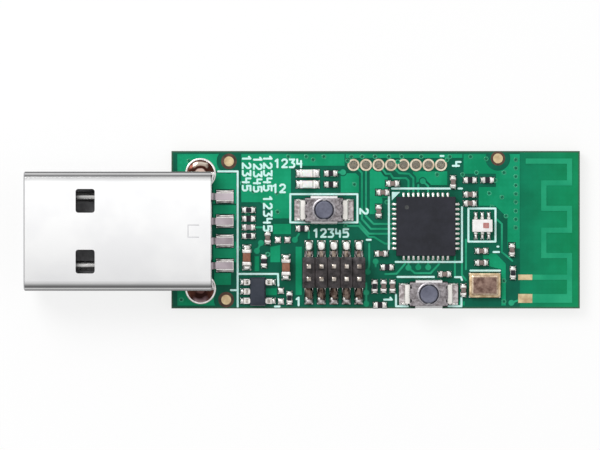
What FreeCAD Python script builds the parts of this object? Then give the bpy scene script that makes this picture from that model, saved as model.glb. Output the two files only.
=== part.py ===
# USB radio stick: a bare circuit board that carries a USB plug at one end and a printed
# antenna at the other, with a radio chip, two push switches and a pin header between them.
# All sizes are millimetres. +X runs from the plug to the antenna, +Y across the board and
# +Z up from the surface that the stick lies on. The origin is under the middle of the whole.
import FreeCAD, Part
import os
import re
import Sketcher
from FreeCAD import Vector

doc = FreeCAD.newDocument("usb_radio_stick")
sheet = doc.addObject("Spreadsheet::Sheet", "sizes")
layout = doc.addObject("App::VarSet", "layout")
owner = {}
pieces = {}

# The board and the layers on it
board_sizes = {
    "board_side_margin": 2.0,
    "board_thickness": 1.0,
    "leg_stub_length": 0.4,
    "copper_thickness": 0.035,
    "silk_thickness": 0.02,
    "silk_line": 0.2,
    "silk_digit": 0.78,
    "silk_digit_step": 0.76,
    "trace_width": 0.2,
    "copper_clearance": 0.2,
    "smallest_patch": 0.1,
    "via_radius": 0.3,
    "edge_clearance": 0.3,
}

# The plug: shell, insulator and contacts
plug_sizes = {
    "shell_length": 18.8,
    "shell_width": 12.0,
    "shell_height": 4.5,
    "shell_sheet": 0.3,
    "shell_corner_radius": 0.7,
    "shell_lip_bevel": 0.1,
    "shell_overlap": 4.1,
    "plug_offset": -0.14,
    "window_length": 1.92,
    "window_width": 2.39,
    "window_spacing": 6.1,
    "window_setback": 5.23,
    "window_corner": 0.28,
    "tab_length": 1.05,
    "tab_width": 1.12,
    "tab_slit": 0.1,
    "tab_setback": 1.17,
    "leg_width": 1.5,
    "leg_setback": 1.14,
    "leg_hole_clearance": 0.25,
    "leg_land_width": 0.57,
    "leg_solder_height": 0.5,
    "insulator_gap": 0.04,
    "insulator_block_length": 7.0,
    "insulator_rear_inset": 0.1,
    "tongue_thickness": 1.84,
    "tongue_setback": 0.8,
    "contact_thickness": 0.25,
    "contact_width": 1.0,
    "contact_tail_width": 0.7,
    "contact_tail_gap": 0.1,
    "power_contact_spacing": 7.0,
    "data_contact_spacing": 2.0,
    "power_contact_setback": 1.8,
    "data_contact_setback": 2.8,
    "plug_pad_gap": 0.47,
    "plug_pad_length": 1.73,
    "plug_pad_width": 1.31,
    "plug_tail_inset": 0.06,
}

# The debug header
header_sizes = {
    "header_gap": 7.025,
    "header_pitch": 1.27,
    "header_width": 3.15,
    "header_height": 1.5,
    "header_standoff": 0.45,
    "header_foot_span": 6.47,
    "header_edge_gap": 0.44,
    "header_pin": 0.4,
    "header_pin_height": 4.2,
    "header_pin_bevel": 0.1,
    "header_pad_width": 0.82,
    "header_pad_length": 1.7,
}

# The push switches
switch_sizes = {
    "cover_length": 3.9,
    "cover_height": 1.5,
    "cover_sheet": 0.15,
    "cover_gap": 0.02,
    "cover_end_inset": 0.06,
    "cover_skirt_length": 2.8,
    "cover_skirt_lift": 0.12,
    "cover_notch_radius": 0.22,
    "cover_notch_spacing": 1.35,
    "plunger_diameter": 1.75,
    "plunger_clearance": 0.1,
    "plunger_projection": 0.5,
    "plunger_travel": 0.2,
    "plunger_seat_gap": 0.03,
    "flange_margin": 0.15,
    "flange_thickness": 0.2,
    "pocket_gap": 0.08,
    "pocket_wall": 0.17,
    "dome_gap": 0.04,
    "dome_height": 0.3,
    "dome_thickness": 0.08,
    "dome_inset": 0.05,
    "terminal_width": 1.95,
    "terminal_sheet": 0.15,
    "terminal_height": 0.6,
    "terminal_arm": 0.3,
    "terminal_reach": 1.1,
    "switch_1_shift": 0.28,
    "switch_1_edge_gap": 0.03,
    "switch_2_shift": -1.0,
    "switch_2_gap": 1.66,
}

# The radio chip
chip_sizes = {
    "chip_gap": 3.165,
    "chip_size": 6.0,
    "chip_height": 0.85,
    "chip_offset": 0.34,
    "chip_bevel": 0.06,
    "chip_dot_diameter": 0.45,
    "chip_dot_depth": 0.04,
    "chip_dot_inset": 1.05,
    "chip_pitch": 0.5,
    "chip_terminal_width": 0.24,
    "chip_terminal_reach": 0.45,
    "chip_terminal_height": 0.14,
}

# The antenna balun and the crystal
radio_sizes = {
    "radio_gap": 1.725,
    "balun_length": 2.03,
    "balun_width": 1.26,
    "balun_height": 0.8,
    "balun_offset": 0.41,
    "balun_pitch": 0.66,
    "balun_terminal_width": 0.3,
    "balun_terminal_reach": 0.22,
    "balun_terminal_height": 0.3,
    "balun_pad_length": 0.85,
    "crystal_length": 3.2,
    "crystal_width": 2.5,
    "crystal_base_height": 0.5,
    "crystal_corner_radius": 0.25,
    "crystal_rim": 0.22,
    "crystal_lid_height": 0.22,
    "crystal_shift": 0.25,
    "crystal_edge_gap": 1.11,
}

# The voltage regulator
regulator_sizes = {
    "regulator_gap": 1.69,
    "regulator_width": 1.6,
    "regulator_length": 2.9,
    "regulator_height": 1.1,
    "regulator_bevel": 0.12,
    "regulator_edge_gap": 0.28,
    "regulator_pitch": 0.95,
    "regulator_lead_width": 0.42,
    "regulator_lead_sheet": 0.15,
    "regulator_lead_height": 0.5,
    "regulator_lead_reach": 0.65,
    "regulator_pad_length": 0.95,
    "regulator_pad_width": 0.6,
}

# The light-emitting diodes
led_sizes = {
    "led_length": 1.6,
    "led_width": 0.8,
    "led_base_height": 0.25,
    "led_lens_length": 1.1,
    "led_lens_height": 0.35,
    "led_terminal_length": 0.25,
    "led_pitch": 1.12,
    "led_pad_overhang": 0.4,
    "led_shift": -2.65,
    "led_gap": 0.75,
}

# Chip resistors and capacitors: the small size is 1.0 by 0.5, the large one 1.6 by 0.8
small_part_sizes = {
    "small_length": 1.0,
    "small_width": 0.5,
    "small_cap": 0.25,
    "resistor_height": 0.35,
    "capacitor_height": 0.5,
    "large_length": 1.6,
    "large_width": 0.8,
    "large_height": 0.8,
    "large_cap": 0.36,
    "pad_overhang": 0.2,
    "large_pad_overhang": 0.5,
    "pad_side": 0.04,
    "pad_under": 0.3,
    "stack_gap": 1.05,
    "stack_rise": 0.63,
    "stack_pitch": 0.88,
}

# The row of plated holes, the fiducial dots and the antenna
antenna_sizes = {
    "hole_row_shift": -7.34,
    "hole_row_edge_gap": 1.41,
    "hole_pitch": 1.27,
    "hole_diameter": 0.88,
    "hole_plating": 0.05,
    "hole_ring_width": 0.17,
    "fiducial_diameter": 1.0,
    "fiducial_opening": 2.5,
    "matching_gap": 2.805,
    "antenna_zone": 6.1,
    "antenna_trace": 0.54,
    "antenna_end_gap": 0.77,
    "antenna_meander_reach": 2.615,
    "antenna_top_reach": 4.19,
    "antenna_edge_gap": 1.025,
    "antenna_outer_run": 2.22,
    "antenna_feed_run": 2.2,
    "antenna_ground_run": 2.15,
    "antenna_ground_trace": 0.9,
    "antenna_feed_pad": 1.43,
    "antenna_feed_inset": 0.16,
}

# How many of each there are
counts = {
    "header_pins_per_row": 5,
    "chip_pins_per_side": 10,
    "hole_count": 8,
}

groups = (board_sizes, plug_sizes, header_sizes, switch_sizes, chip_sizes, radio_sizes, regulator_sizes,
          led_sizes, small_part_sizes, antenna_sizes, counts)
for group_of_sizes in groups:
    for alias, value in group_of_sizes.items():
        line = len(owner) + 1
        sheet.set(f"A{line}", alias)
        sheet.set(f"B{line}", str(value))
        sheet.setAlias(f"B{line}", alias)
        owner[alias] = "sizes."


def formula(text):
    """Write out which sheet or set holds each name of a formula."""
    return re.sub(r"[A-Za-z_]\w*", lambda word: owner.get(word.group(), "") + word.group(), text)


def bind(item, prop, text):
    """Bind a property to a formula over the named sizes and places."""
    item.setExpression(prop, formula(text))


def place(name, text):
    """Work out one named place or size from the driving dimensions."""
    layout.addProperty("App::PropertyFloat", name)
    setattr(layout, name, amount(text))
    bind(layout, name, text)
    owner[name] = "layout."


def amount(text):
    """Give the number that a formula over the named sizes comes to."""
    return float(sheet.evalExpression(formula(text)))


doc.recompute()


# Levels: the leg stubs stand on the surface, the board above them, the copper on the board
place("board_base", "leg_stub_length")
place("board_top", "board_base + board_thickness")
place("copper_top", "board_top + copper_thickness")
place("silk_top", "copper_top + silk_thickness")

# Places along the board, counted from its plug end, each from the piece before it
place("pads_end_run", "shell_overlap + plug_pad_gap + plug_pad_length")
place("header_length", "header_pins_per_row * header_pitch")
place("header_run", "pads_end_run + header_gap + header_length / 2")
place("chip_run", "header_run + header_length / 2 + chip_gap + chip_size / 2")
place("radio_run", "chip_run + chip_size / 2 + radio_gap + balun_length / 2")
place("antenna_run", "radio_run + balun_length / 2 + matching_gap")
place("board_length", "antenna_run + antenna_zone")
place("overhang", "shell_length - shell_overlap")
place("tip_x", "-(overhang + board_length) / 2")
place("edge_x", "tip_x + overhang")
place("pads_x", "edge_x + pads_end_run")
place("header_x", "edge_x + header_run")
place("chip_x", "edge_x + chip_run")
place("radio_x", "edge_x + radio_run")
place("antenna_x", "edge_x + antenna_run")
place("end_x", "edge_x + board_length")

# Places across the board
place("board_width", "shell_width + 2 * board_side_margin")
place("top_y", "board_width / 2")
place("bottom_y", "-board_width / 2")
place("header_y", "bottom_y + header_edge_gap + header_foot_span / 2")
place("regulator_x", "pads_x + regulator_gap + regulator_width / 2")
place("regulator_y", "bottom_y + regulator_edge_gap + regulator_length / 2")
place("crystal_x", "radio_x + crystal_shift")
place("crystal_y", "bottom_y + crystal_edge_gap + crystal_width / 2")
place("hole_x", "chip_x + hole_row_shift")
place("hole_y", "top_y - hole_row_edge_gap")

# The switch is sized outwards from its plunger: pocket, base wall, then cover
place("pocket_radius", "plunger_diameter / 2 + flange_margin + pocket_gap")
place("base_width", "2 * (pocket_radius + pocket_wall)")
place("base_length", "cover_length - 2 * cover_end_inset")
place("base_height", "cover_height - cover_sheet")
place("cover_width", "base_width + 2 * (cover_gap + cover_sheet)")
place("dome_radius", "pocket_radius - dome_inset")
place("pocket_floor", "base_height - plunger_seat_gap - flange_thickness"
      " - plunger_travel - dome_gap - dome_height")
place("switch_1_x", "chip_x + switch_1_shift")
place("switch_1_y", "bottom_y + switch_1_edge_gap + cover_width / 2")
place("switch_2_x", "header_x + switch_2_shift")
place("switch_2_y", "header_y + header_foot_span / 2 + switch_2_gap + cover_width / 2")


def keep(name, item):
    """Name an object as one sub-part of the stick."""
    item.Label = name
    pieces[name] = item
    return item


def block(name, length, width, height, x, y, z):
    """A plain block, centred on x and y and standing on z."""
    item = doc.addObject("Part::Box", name)
    bind(item, "Length", length)
    bind(item, "Width", width)
    bind(item, "Height", height)
    bind(item, "Placement.Base.x", f"{x} - ({length}) / 2")
    bind(item, "Placement.Base.y", f"{y} - ({width}) / 2")
    bind(item, "Placement.Base.z", z)
    return item


def rod(name, radius, height, x, y, z):
    """A round rod or disc, standing on z."""
    item = doc.addObject("Part::Cylinder", name)
    bind(item, "Radius", radius)
    bind(item, "Height", height)
    bind(item, "Placement.Base.x", x)
    bind(item, "Placement.Base.y", y)
    bind(item, "Placement.Base.z", z)
    return item


def group(name, items):
    """Several like solids that share one name."""
    item = doc.addObject("Part::Compound", name)
    item.Links = items
    return item


def fuse(name, items):
    """Several solids joined into one."""
    item = doc.addObject("Part::MultiFuse", name)
    item.Shapes = items
    return item


def cut(name, base, tool):
    """One solid less another."""
    item = doc.addObject("Part::Cut", name)
    item.Base = base
    item.Tool = tool
    return item


def body(name, x, y, z):
    """An empty body whose own origin lies at the given place."""
    item = doc.addObject("PartDesign::Body", name)
    bind(item, "Placement.Base.x", x)
    bind(item, "Placement.Base.y", y)
    bind(item, "Placement.Base.z", z)
    return item


def datum(item, role):
    """One of a body's own origin planes or axes."""
    return next(feature for feature in item.Origin.OriginFeatures if feature.Role == role)


def sketch(item, name, plane="XY_Plane", lift="0"):
    """An empty sketch on a plane of the body, lifted along the plane's normal."""
    drawing = item.newObject("Sketcher::SketchObject", f"{item.Name}_{name}")
    drawing.AttachmentSupport = [(datum(item, plane), "")]
    drawing.MapMode = "FlatFace"
    bind(drawing, "AttachmentOffset.Base.z", lift)
    return drawing


def pin_point(drawing, shape, end, x, y):
    """Hold one point of a sketch at two formulas, counted from the sketch's origin."""
    for kind, text in (("DistanceX", x), ("DistanceY", y)):
        index = drawing.addConstraint(Sketcher.Constraint(kind, -1, 1, shape, end, amount(text)))
        bind(drawing, f"Constraints[{index}]", text)


def outline(drawing, corners):
    """Draw a closed outline of straight lines whose corners are held by formulas."""
    points = [Vector(amount(x), amount(y), 0) for x, y in corners]
    first = drawing.GeometryCount
    count = len(corners)
    for corner in range(count):
        drawing.addGeometry(Part.LineSegment(points[corner], points[(corner + 1) % count]))
    for corner in range(count):
        following = first + (corner + 1) % count
        drawing.addConstraint(Sketcher.Constraint("Coincident", first + corner, 2, following, 1))
    for corner, (x, y) in enumerate(corners):
        pin_point(drawing, first + corner, 1, x, y)


def rectangle(drawing, length, width, x="0", y="0"):
    """Draw a rectangle about a centre."""
    left, right = f"{x} - ({length}) / 2", f"{x} + ({length}) / 2"
    low, high = f"{y} - ({width}) / 2", f"{y} + ({width}) / 2"
    outline(drawing, [(left, low), (right, low), (right, high), (left, high)])


def circle(drawing, radius, x="0", y="0"):
    """Draw a circle about a centre."""
    shape = drawing.addGeometry(Part.Circle(Vector(amount(x), amount(y), 0), Vector(0, 0, 1), amount(radius)))
    index = drawing.addConstraint(Sketcher.Constraint("Radius", shape, amount(radius)))
    bind(drawing, f"Constraints[{index}]", radius)
    pin_point(drawing, shape, 3, x, y)


def pad(item, drawing, length, down=False, both_ways=False):
    """Raise a sketch into a solid."""
    feature = item.newObject("PartDesign::Pad", f"{drawing.Name}_pad")
    feature.Profile = drawing
    bind(feature, "Length", length)
    feature.Reversed = down
    feature.Midplane = both_ways
    item.Tip = feature
    return feature


def pocket(item, drawing, depth=None, along=False, both_ways=False):
    """Cut a sketch into the solid, to a depth or right through."""
    feature = item.newObject("PartDesign::Pocket", f"{drawing.Name}_pocket")
    feature.Profile = drawing
    if depth is None:
        feature.Type = 1
    else:
        bind(feature, "Length", depth)
    feature.Reversed = along
    feature.Midplane = both_ways
    item.Tip = feature
    return feature


def row(item, feature, axis, count, pitch):
    """Repeat a feature along an axis of the body."""
    pattern = item.newObject("PartDesign::LinearPattern", f"{feature.Name}_row")
    pattern.Originals = [feature]
    pattern.Direction = (datum(item, axis), [""])
    bind(pattern, "Occurrences", count)
    bind(pattern, "Length", f"({count} - 1) * ({pitch})")
    item.Tip = pattern
    return pattern


def round_edges(item, radius, chosen, kind="Fillet", prop="Radius"):
    """Round or bevel the edges that a test picks out of the body's last feature."""
    doc.recompute()
    base = item.Tip
    names = [f"Edge{number + 1}" for number, edge in enumerate(base.Shape.Edges) if chosen(edge)]
    feature = item.newObject(f"PartDesign::{kind}", f"{base.Name}_{kind.lower()}")
    feature.Base = (base, names)
    bind(feature, prop, radius)
    item.Tip = feature
    return feature


def close(value, target):
    """Tell whether two lengths are the same."""
    return abs(value - target) < 1e-4


def runs_along(edge, axis):
    """Tell whether an edge is straight and runs along one of the axes."""
    if not isinstance(edge.Curve, Part.Line):
        return False
    return close(abs(getattr(edge.Curve.Direction, axis)), 1)


def spot(name, x, y, length, width):
    """One copper pad on the board's top."""
    solder_pads.append(block(name, length, width, "copper_thickness", x, y, "board_top"))


solder_pads = []


# Circuit board: one sheet of laminate with two holes for the plug's legs and a row of eight
# holes for wires.
place("leg_x", "edge_x + shell_overlap - leg_setback")
place("leg_reach", "(shell_width - shell_sheet) / 2")
place("leg_hole_radius", "leg_width / 2 + leg_hole_clearance")
place("hole_radius", "hole_diameter / 2 + hole_plating")
board = body("board", "edge_x + board_length / 2", "0", "board_base")
drawing = sketch(board, "outline")
rectangle(drawing, "board_length", "board_width")
pad(board, drawing, "board_thickness")
drawing = sketch(board, "leg_holes", lift="board_thickness")
for side in ("-", "+"):
    circle(drawing, "leg_hole_radius", "leg_x - edge_x - board_length / 2", f"plug_offset {side} leg_reach")
pocket(board, drawing)
drawing = sketch(board, "wire_hole", lift="board_thickness")
circle(drawing, "hole_radius", "hole_x - edge_x - board_length / 2", "hole_y")
row(board, pocket(board, drawing), "X_Axis", "hole_count", "hole_pitch")
keep("circuit_board", board)

# Plated rings: each lines one wire hole, with a land on both faces of the board.
rings = body("rings", "hole_x", "hole_y", "board_base")
drawing = sketch(rings, "section", "XZ_Plane")
place("ring_radius", "hole_diameter / 2 + hole_ring_width")
outline(drawing, [
    ("hole_diameter / 2", "-copper_thickness"),
    ("ring_radius", "-copper_thickness"),
    ("ring_radius", "0"),
    ("hole_radius", "0"),
    ("hole_radius", "board_thickness"),
    ("ring_radius", "board_thickness"),
    ("ring_radius", "board_thickness + copper_thickness"),
    ("hole_diameter / 2", "board_thickness + copper_thickness"),
])
lining = rings.newObject("PartDesign::Revolution", "rings_lining")
lining.Profile = drawing
lining.ReferenceAxis = (drawing, ["V_Axis"])
lining.Angle = 360
rings.Tip = lining
row(rings, lining, "X_Axis", "hole_count", "hole_pitch")
keep("io_hole_rings", rings)

# Fiducial dots: bare round copper marks by which the board was lined up.
fiducials = (
    ("upper_left_dot", "pads_x - 0.46", "top_y - 1.05"),
    ("lower_left_dot", "pads_x - 0.74", "bottom_y + 0.89"),
    ("upper_right_dot", "antenna_x - 2.22", "top_y - 0.75"),
)
dots = [rod(name, "fiducial_diameter / 2", "copper_thickness", x, y, "board_top")
        for name, x, y in fiducials]
keep("fiducial_dots", group("fiducial_dots", dots))

# Plug shell: one strip of steel folded into a tube, with locking windows above and below, a
# tab pressed out of its top and two legs that go down through the board.
place("plug_z", "copper_top + shell_height / 2")
shell = body("shell", "tip_x", "plug_offset", "plug_z")
drawing = sketch(shell, "section", "YZ_Plane")
rectangle(drawing, "shell_width", "shell_height")
rectangle(drawing, "shell_width - 2 * shell_sheet", "shell_height - 2 * shell_sheet")
pad(shell, drawing, "shell_length")
half_width = amount("shell_width / 2")
inner_half_width = amount("shell_width / 2 - shell_sheet")
round_edges(shell, "shell_corner_radius",
            lambda edge: runs_along(edge, "x") and close(abs(edge.Vertexes[0].Y), half_width))
round_edges(shell, "shell_corner_radius - shell_sheet",
            lambda edge: runs_along(edge, "x") and close(abs(edge.Vertexes[0].Y), inner_half_width)
            and close(abs(edge.Vertexes[0].Z), amount("shell_height / 2 - shell_sheet")))
half_height = amount("shell_height / 2")
round_edges(shell, "shell_lip_bevel",
            lambda edge: all(close(corner.X, 0) and (close(abs(corner.Y), half_width)
                                                     or close(abs(corner.Z), half_height))
                             for corner in edge.Vertexes), "Chamfer", "Size")
drawing = sketch(shell, "windows")
for side in ("-", "+"):
    rectangle(drawing, "window_length", "window_width",
              "window_setback + window_length / 2", f"{side}window_spacing / 2")
pocket(shell, drawing, both_ways=True)
window_ends = [amount("window_setback"), amount("window_setback + window_length")]
round_edges(shell, "window_corner",
            lambda edge: runs_along(edge, "z") and any(close(edge.Vertexes[0].X, x) for x in window_ends))
drawing = sketch(shell, "tab")
place("tab_rear", "shell_length - tab_setback")
place("tab_front", "tab_rear - tab_length")
outline(drawing, [
    ("tab_rear", "tab_width / 2 + tab_slit"),
    ("tab_front - tab_slit", "tab_width / 2 + tab_slit"),
    ("tab_front - tab_slit", "-tab_width / 2 - tab_slit"),
    ("tab_rear", "-tab_width / 2 - tab_slit"),
    ("tab_rear", "-tab_width / 2"),
    ("tab_front", "-tab_width / 2"),
    ("tab_front", "tab_width / 2"),
    ("tab_rear", "tab_width / 2"),
])
pocket(shell, drawing, along=True)
drawing = sketch(shell, "legs", lift="shell_corner_radius - shell_height / 2")
for side in ("-", "+"):
    rectangle(drawing, "leg_width", "shell_sheet", "shell_length - leg_setback", f"{side}leg_reach")
pad(shell, drawing, "shell_corner_radius + copper_top", down=True)
keep("usb_shell", shell)

# Plug insulator: a moulded block that fills the rear of the shell, with a flat tongue that
# carries the contacts towards the mouth.
place("insulator_width", "shell_width - 2 * (shell_sheet + insulator_gap)")
place("insulator_height", "shell_height - 2 * (shell_sheet + insulator_gap)")
place("tongue_top", "tongue_thickness - insulator_height / 2")
insulator = body("insulator", "tip_x", "plug_offset", "plug_z")
drawing = sketch(insulator, "block", "YZ_Plane", "shell_length - insulator_block_length")
rectangle(drawing, "insulator_width", "insulator_height")
pad(insulator, drawing, "insulator_block_length - insulator_rear_inset")
drawing = sketch(insulator, "tongue", "YZ_Plane", "tongue_setback")
rectangle(drawing, "insulator_width", "tongue_thickness", y="(tongue_thickness - insulator_height) / 2")
pad(insulator, drawing, "shell_length - insulator_block_length - tongue_setback")
insulator_side = amount("insulator_width / 2")
insulator_face = amount("insulator_height / 2")
round_edges(insulator, "shell_corner_radius - shell_sheet",
            lambda edge: runs_along(edge, "x") and close(abs(edge.Vertexes[0].Y), insulator_side)
            and close(abs(edge.Vertexes[0].Z), insulator_face))
for kind in ("power", "data"):
    drawing = sketch(insulator, f"{kind}_grooves", "YZ_Plane", f"{kind}_contact_setback")
    for side in ("-", "+"):
        rectangle(drawing, "contact_width", "contact_thickness",
                  f"{side}{kind}_contact_spacing / 2", "tongue_top - contact_thickness / 2")
    pocket(insulator, drawing, along=True)
keep("usb_insulator", insulator)

# Plug contacts: each is one strip, flush in the tongue, that leaves the rear of the block,
# drops to the board and ends in a foot on its pad.
place("contact_level", "plug_z + tongue_top - contact_thickness")
place("riser_x", "tip_x + shell_length + contact_tail_gap + contact_thickness / 2")
place("foot_length", "pads_end_run - shell_overlap - contact_tail_gap - plug_tail_inset")
for kind in ("power", "data"):
    strips = []
    for side in ("-", "+"):
        middle = f"plug_offset {side} {kind}_contact_spacing / 2"
        name = f"{kind}_{'lower' if side == '-' else 'upper'}"
        blade_length = f"shell_length + contact_tail_gap + contact_thickness - {kind}_contact_setback"
        inside_length = f"shell_length - insulator_rear_inset - {kind}_contact_setback"
        blade = block(f"{name}_blade", inside_length, "contact_width", "contact_thickness",
                      f"tip_x + {kind}_contact_setback + ({inside_length}) / 2", middle, "contact_level")
        arm = block(f"{name}_arm", blade_length, "contact_tail_width", "contact_thickness",
                    f"tip_x + {kind}_contact_setback + ({blade_length}) / 2", middle, "contact_level")
        riser = block(f"{name}_riser", "contact_thickness", "contact_tail_width",
                      "contact_level + contact_thickness - copper_top", "riser_x", middle, "copper_top")
        foot = block(f"{name}_foot", "foot_length", "contact_tail_width", "contact_thickness",
                     "riser_x - contact_thickness / 2 + foot_length / 2", middle, "copper_top")
        strips.append(fuse(f"{name}_strip", [blade, arm, riser, foot]))
        spot(f"{name}_pad", "pads_x - plug_pad_length / 2", middle, "plug_pad_length", "plug_pad_width")
    keep(f"usb_{kind}_contacts", group(f"usb_{kind}_contacts", strips))

# Leg solder: fills each leg's hole, with a round fillet above the board outside the shell and
# a smaller one below it.
fillets = []
lands = []
for name, side in (("lower_leg", "-"), ("upper_leg", "+")):
    y = f"plug_offset {side} leg_reach"
    barrel = rod(f"{name}_barrel", "leg_hole_radius", "board_thickness + copper_thickness",
                 "leg_x", y, "board_base")
    for part, low, high, base, height in (
            ("above", "leg_hole_radius + 0.25", "leg_width / 2 - 0.1", "copper_top", "leg_solder_height"),
            ("below", "leg_width / 2", "leg_hole_radius", "leg_stub_length / 2", "leg_stub_length / 2")):
        cone = doc.addObject("Part::Cone", f"{name}_{part}")
        bind(cone, "Radius1", low)
        bind(cone, "Radius2", high)
        bind(cone, "Height", height)
        bind(cone, "Placement.Base.x", "leg_x")
        bind(cone, "Placement.Base.y", y)
        bind(cone, "Placement.Base.z", base)
        fillets.append(cone)
    fillets.append(barrel)
    land = rod(f"{name}_land", "leg_hole_radius + leg_land_width", "copper_thickness", "leg_x", y, "board_top")
    mouth = rod(f"{name}_mouth", "leg_hole_radius", "copper_thickness", "leg_x", y, "board_top")
    lands.append(cut(f"{name}_ring", land, mouth))
shell_space = block("shell_space", "shell_length", "shell_width", "shell_height",
                    "tip_x + shell_length / 2", "plug_offset", "copper_top")
solder = cut("leg_solder", fuse("leg_solder_whole", fillets), fuse("shell_and_space", [shell, shell_space]))
keep("shell_leg_solder", solder)
keep("shell_leg_lands", group("shell_leg_lands", lands))

# Radio chip: a flat square package with ten soldered terminals on each side.
chip = body("chip", "chip_x", "chip_offset", "copper_top")
drawing = sketch(chip, "outline")
rectangle(drawing, "chip_size", "chip_size")
pad(chip, drawing, "chip_height")
round_edges(chip, "chip_bevel", lambda edge: close(edge.Vertexes[0].Z, amount("chip_height"))
            and close(edge.Vertexes[-1].Z, amount("chip_height")), "Chamfer", "Size")
drawing = sketch(chip, "dot", lift="chip_height")
circle(drawing, "chip_dot_diameter / 2", "chip_dot_inset - chip_size / 2", "chip_size / 2 - chip_dot_inset")
pocket(chip, drawing, "chip_dot_depth")
keep("radio_chip", chip)
terminals = body("chip_terminals", "chip_x", "chip_offset", "copper_top")
drawing = sketch(terminals, "first")
rectangle(drawing, "chip_terminal_reach", "chip_terminal_width",
          "(chip_size + chip_terminal_reach) / 2", "-(chip_pins_per_side - 1) * chip_pitch / 2")
first = pad(terminals, drawing, "chip_terminal_height")
around = terminals.newObject("PartDesign::MultiTransform", "chip_terminals_around")
around.Originals = [first]
side_row = terminals.newObject("PartDesign::LinearPattern", "chip_terminals_side")
side_row.Direction = (datum(terminals, "Y_Axis"), [""])
bind(side_row, "Occurrences", "chip_pins_per_side")
bind(side_row, "Length", "(chip_pins_per_side - 1) * chip_pitch")
four_sides = terminals.newObject("PartDesign::PolarPattern", "chip_terminals_sides")
four_sides.Axis = (datum(terminals, "Z_Axis"), [""])
four_sides.Occurrences = 4
around.Transformations = [side_row, four_sides]
terminals.Tip = around
keep("radio_chip_terminals", terminals)


def switch(number):
    """Push switch: base with a pocket, snap dome, plunger, pressed metal cover and terminals."""
    name = f"switch_{number}"
    at = (f"{name}_x", f"{name}_y", "copper_top")

    base = body(f"{name}_base", *at)
    drawing = sketch(base, "outline")
    rectangle(drawing, "base_length", "base_width")
    pad(base, drawing, "base_height")
    drawing = sketch(base, "pocket", lift="base_height")
    circle(drawing, "pocket_radius")
    pocket(base, drawing, "base_height - pocket_floor")
    keep(f"{name}_base", base)

    cover = body(f"{name}_cover", *at)
    drawing = sketch(cover, "plate", lift="base_height")
    rectangle(drawing, "cover_length", "cover_width")
    circle(drawing, "plunger_diameter / 2 + plunger_clearance")
    pad(cover, drawing, "cover_sheet")
    drawing = sketch(cover, "skirts", lift="base_height")
    for side in ("-", "+"):
        rectangle(drawing, "cover_skirt_length", "cover_sheet", y=f"{side}(cover_width - cover_sheet) / 2")
    pad(cover, drawing, "base_height - cover_skirt_lift", down=True)
    drawing = sketch(cover, "notches", lift="cover_height")
    for end in ("-", "+"):
        for side in ("-", "+"):
            circle(drawing, "cover_notch_radius", f"{end}cover_length / 2", f"{side}cover_notch_spacing / 2")
    pocket(cover, drawing, "cover_sheet")
    keep(f"{name}_cover", cover)

    plunger = body(f"{name}_plunger", *at)
    drawing = sketch(plunger, "section", "XZ_Plane")
    flange_top = "base_height - plunger_seat_gap"
    flange_radius = "plunger_diameter / 2 + flange_margin"
    plunger_top = "cover_height + plunger_projection"
    outline(drawing, [
        ("0", f"{flange_top} - flange_thickness"),
        (flange_radius, f"{flange_top} - flange_thickness"),
        (flange_radius, flange_top),
        ("plunger_diameter / 2", flange_top),
        ("plunger_diameter / 2", f"{plunger_top} - 0.08"),
        ("plunger_diameter / 2 - 0.08", plunger_top),
        ("0", plunger_top),
    ])
    turned = plunger.newObject("PartDesign::Revolution", f"{name}_plunger_turned")
    turned.Profile = drawing
    turned.ReferenceAxis = (drawing, ["V_Axis"])
    turned.Angle = 360
    plunger.Tip = turned
    keep(f"{name}_plunger", plunger)

    place(f"{name}_dome_round", "(dome_radius ^ 2 + dome_height ^ 2) / (2 * dome_height)")
    balls = []
    for skin, radius in (("outer", f"{name}_dome_round"), ("inner", f"{name}_dome_round - dome_thickness")):
        ball = doc.addObject("Part::Sphere", f"{name}_dome_{skin}")
        bind(ball, "Radius", radius)
        bind(ball, "Placement.Base.x", at[0])
        bind(ball, "Placement.Base.y", at[1])
        bind(ball, "Placement.Base.z", f"copper_top + pocket_floor + dome_height - {name}_dome_round")
        balls.append(ball)
    space = rod(f"{name}_dome_space", "dome_radius", "dome_height", at[0], at[1], "copper_top + pocket_floor")
    dome = doc.addObject("Part::Common", f"{name}_dome")
    dome.Base = cut(f"{name}_dome_skin", *balls)
    dome.Tool = space
    keep(f"{name}_dome", dome)

    legs = body(f"{name}_terminals", *at)
    drawing = sketch(legs, "section", "XZ_Plane")
    start = "base_length / 2"
    outline(drawing, [
        (start, "terminal_height"),
        (f"{start} + terminal_arm", "terminal_height"),
        (f"{start} + terminal_arm", "terminal_sheet"),
        (f"{start} + terminal_reach", "terminal_sheet"),
        (f"{start} + terminal_reach", "0"),
        (f"{start} + terminal_arm - terminal_sheet", "0"),
        (f"{start} + terminal_arm - terminal_sheet", "terminal_height - terminal_sheet"),
        (start, "terminal_height - terminal_sheet"),
    ])
    leg = pad(legs, drawing, "terminal_width", both_ways=True)
    pair = legs.newObject("PartDesign::PolarPattern", f"{name}_terminals_pair")
    pair.Originals = [leg]
    pair.Axis = (datum(legs, "Z_Axis"), [""])
    pair.Occurrences = 2
    legs.Tip = pair
    keep(f"{name}_terminals", legs)
    for side in ("-", "+"):
        spot(f"{name}_pad_{'left' if side == '-' else 'right'}",
             f"{at[0]} {side} (base_length / 2 + terminal_reach / 2 + 0.1)", at[1],
             "terminal_reach - 0.2", "terminal_width + 0.2")


switch(1)
switch(2)

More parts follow.
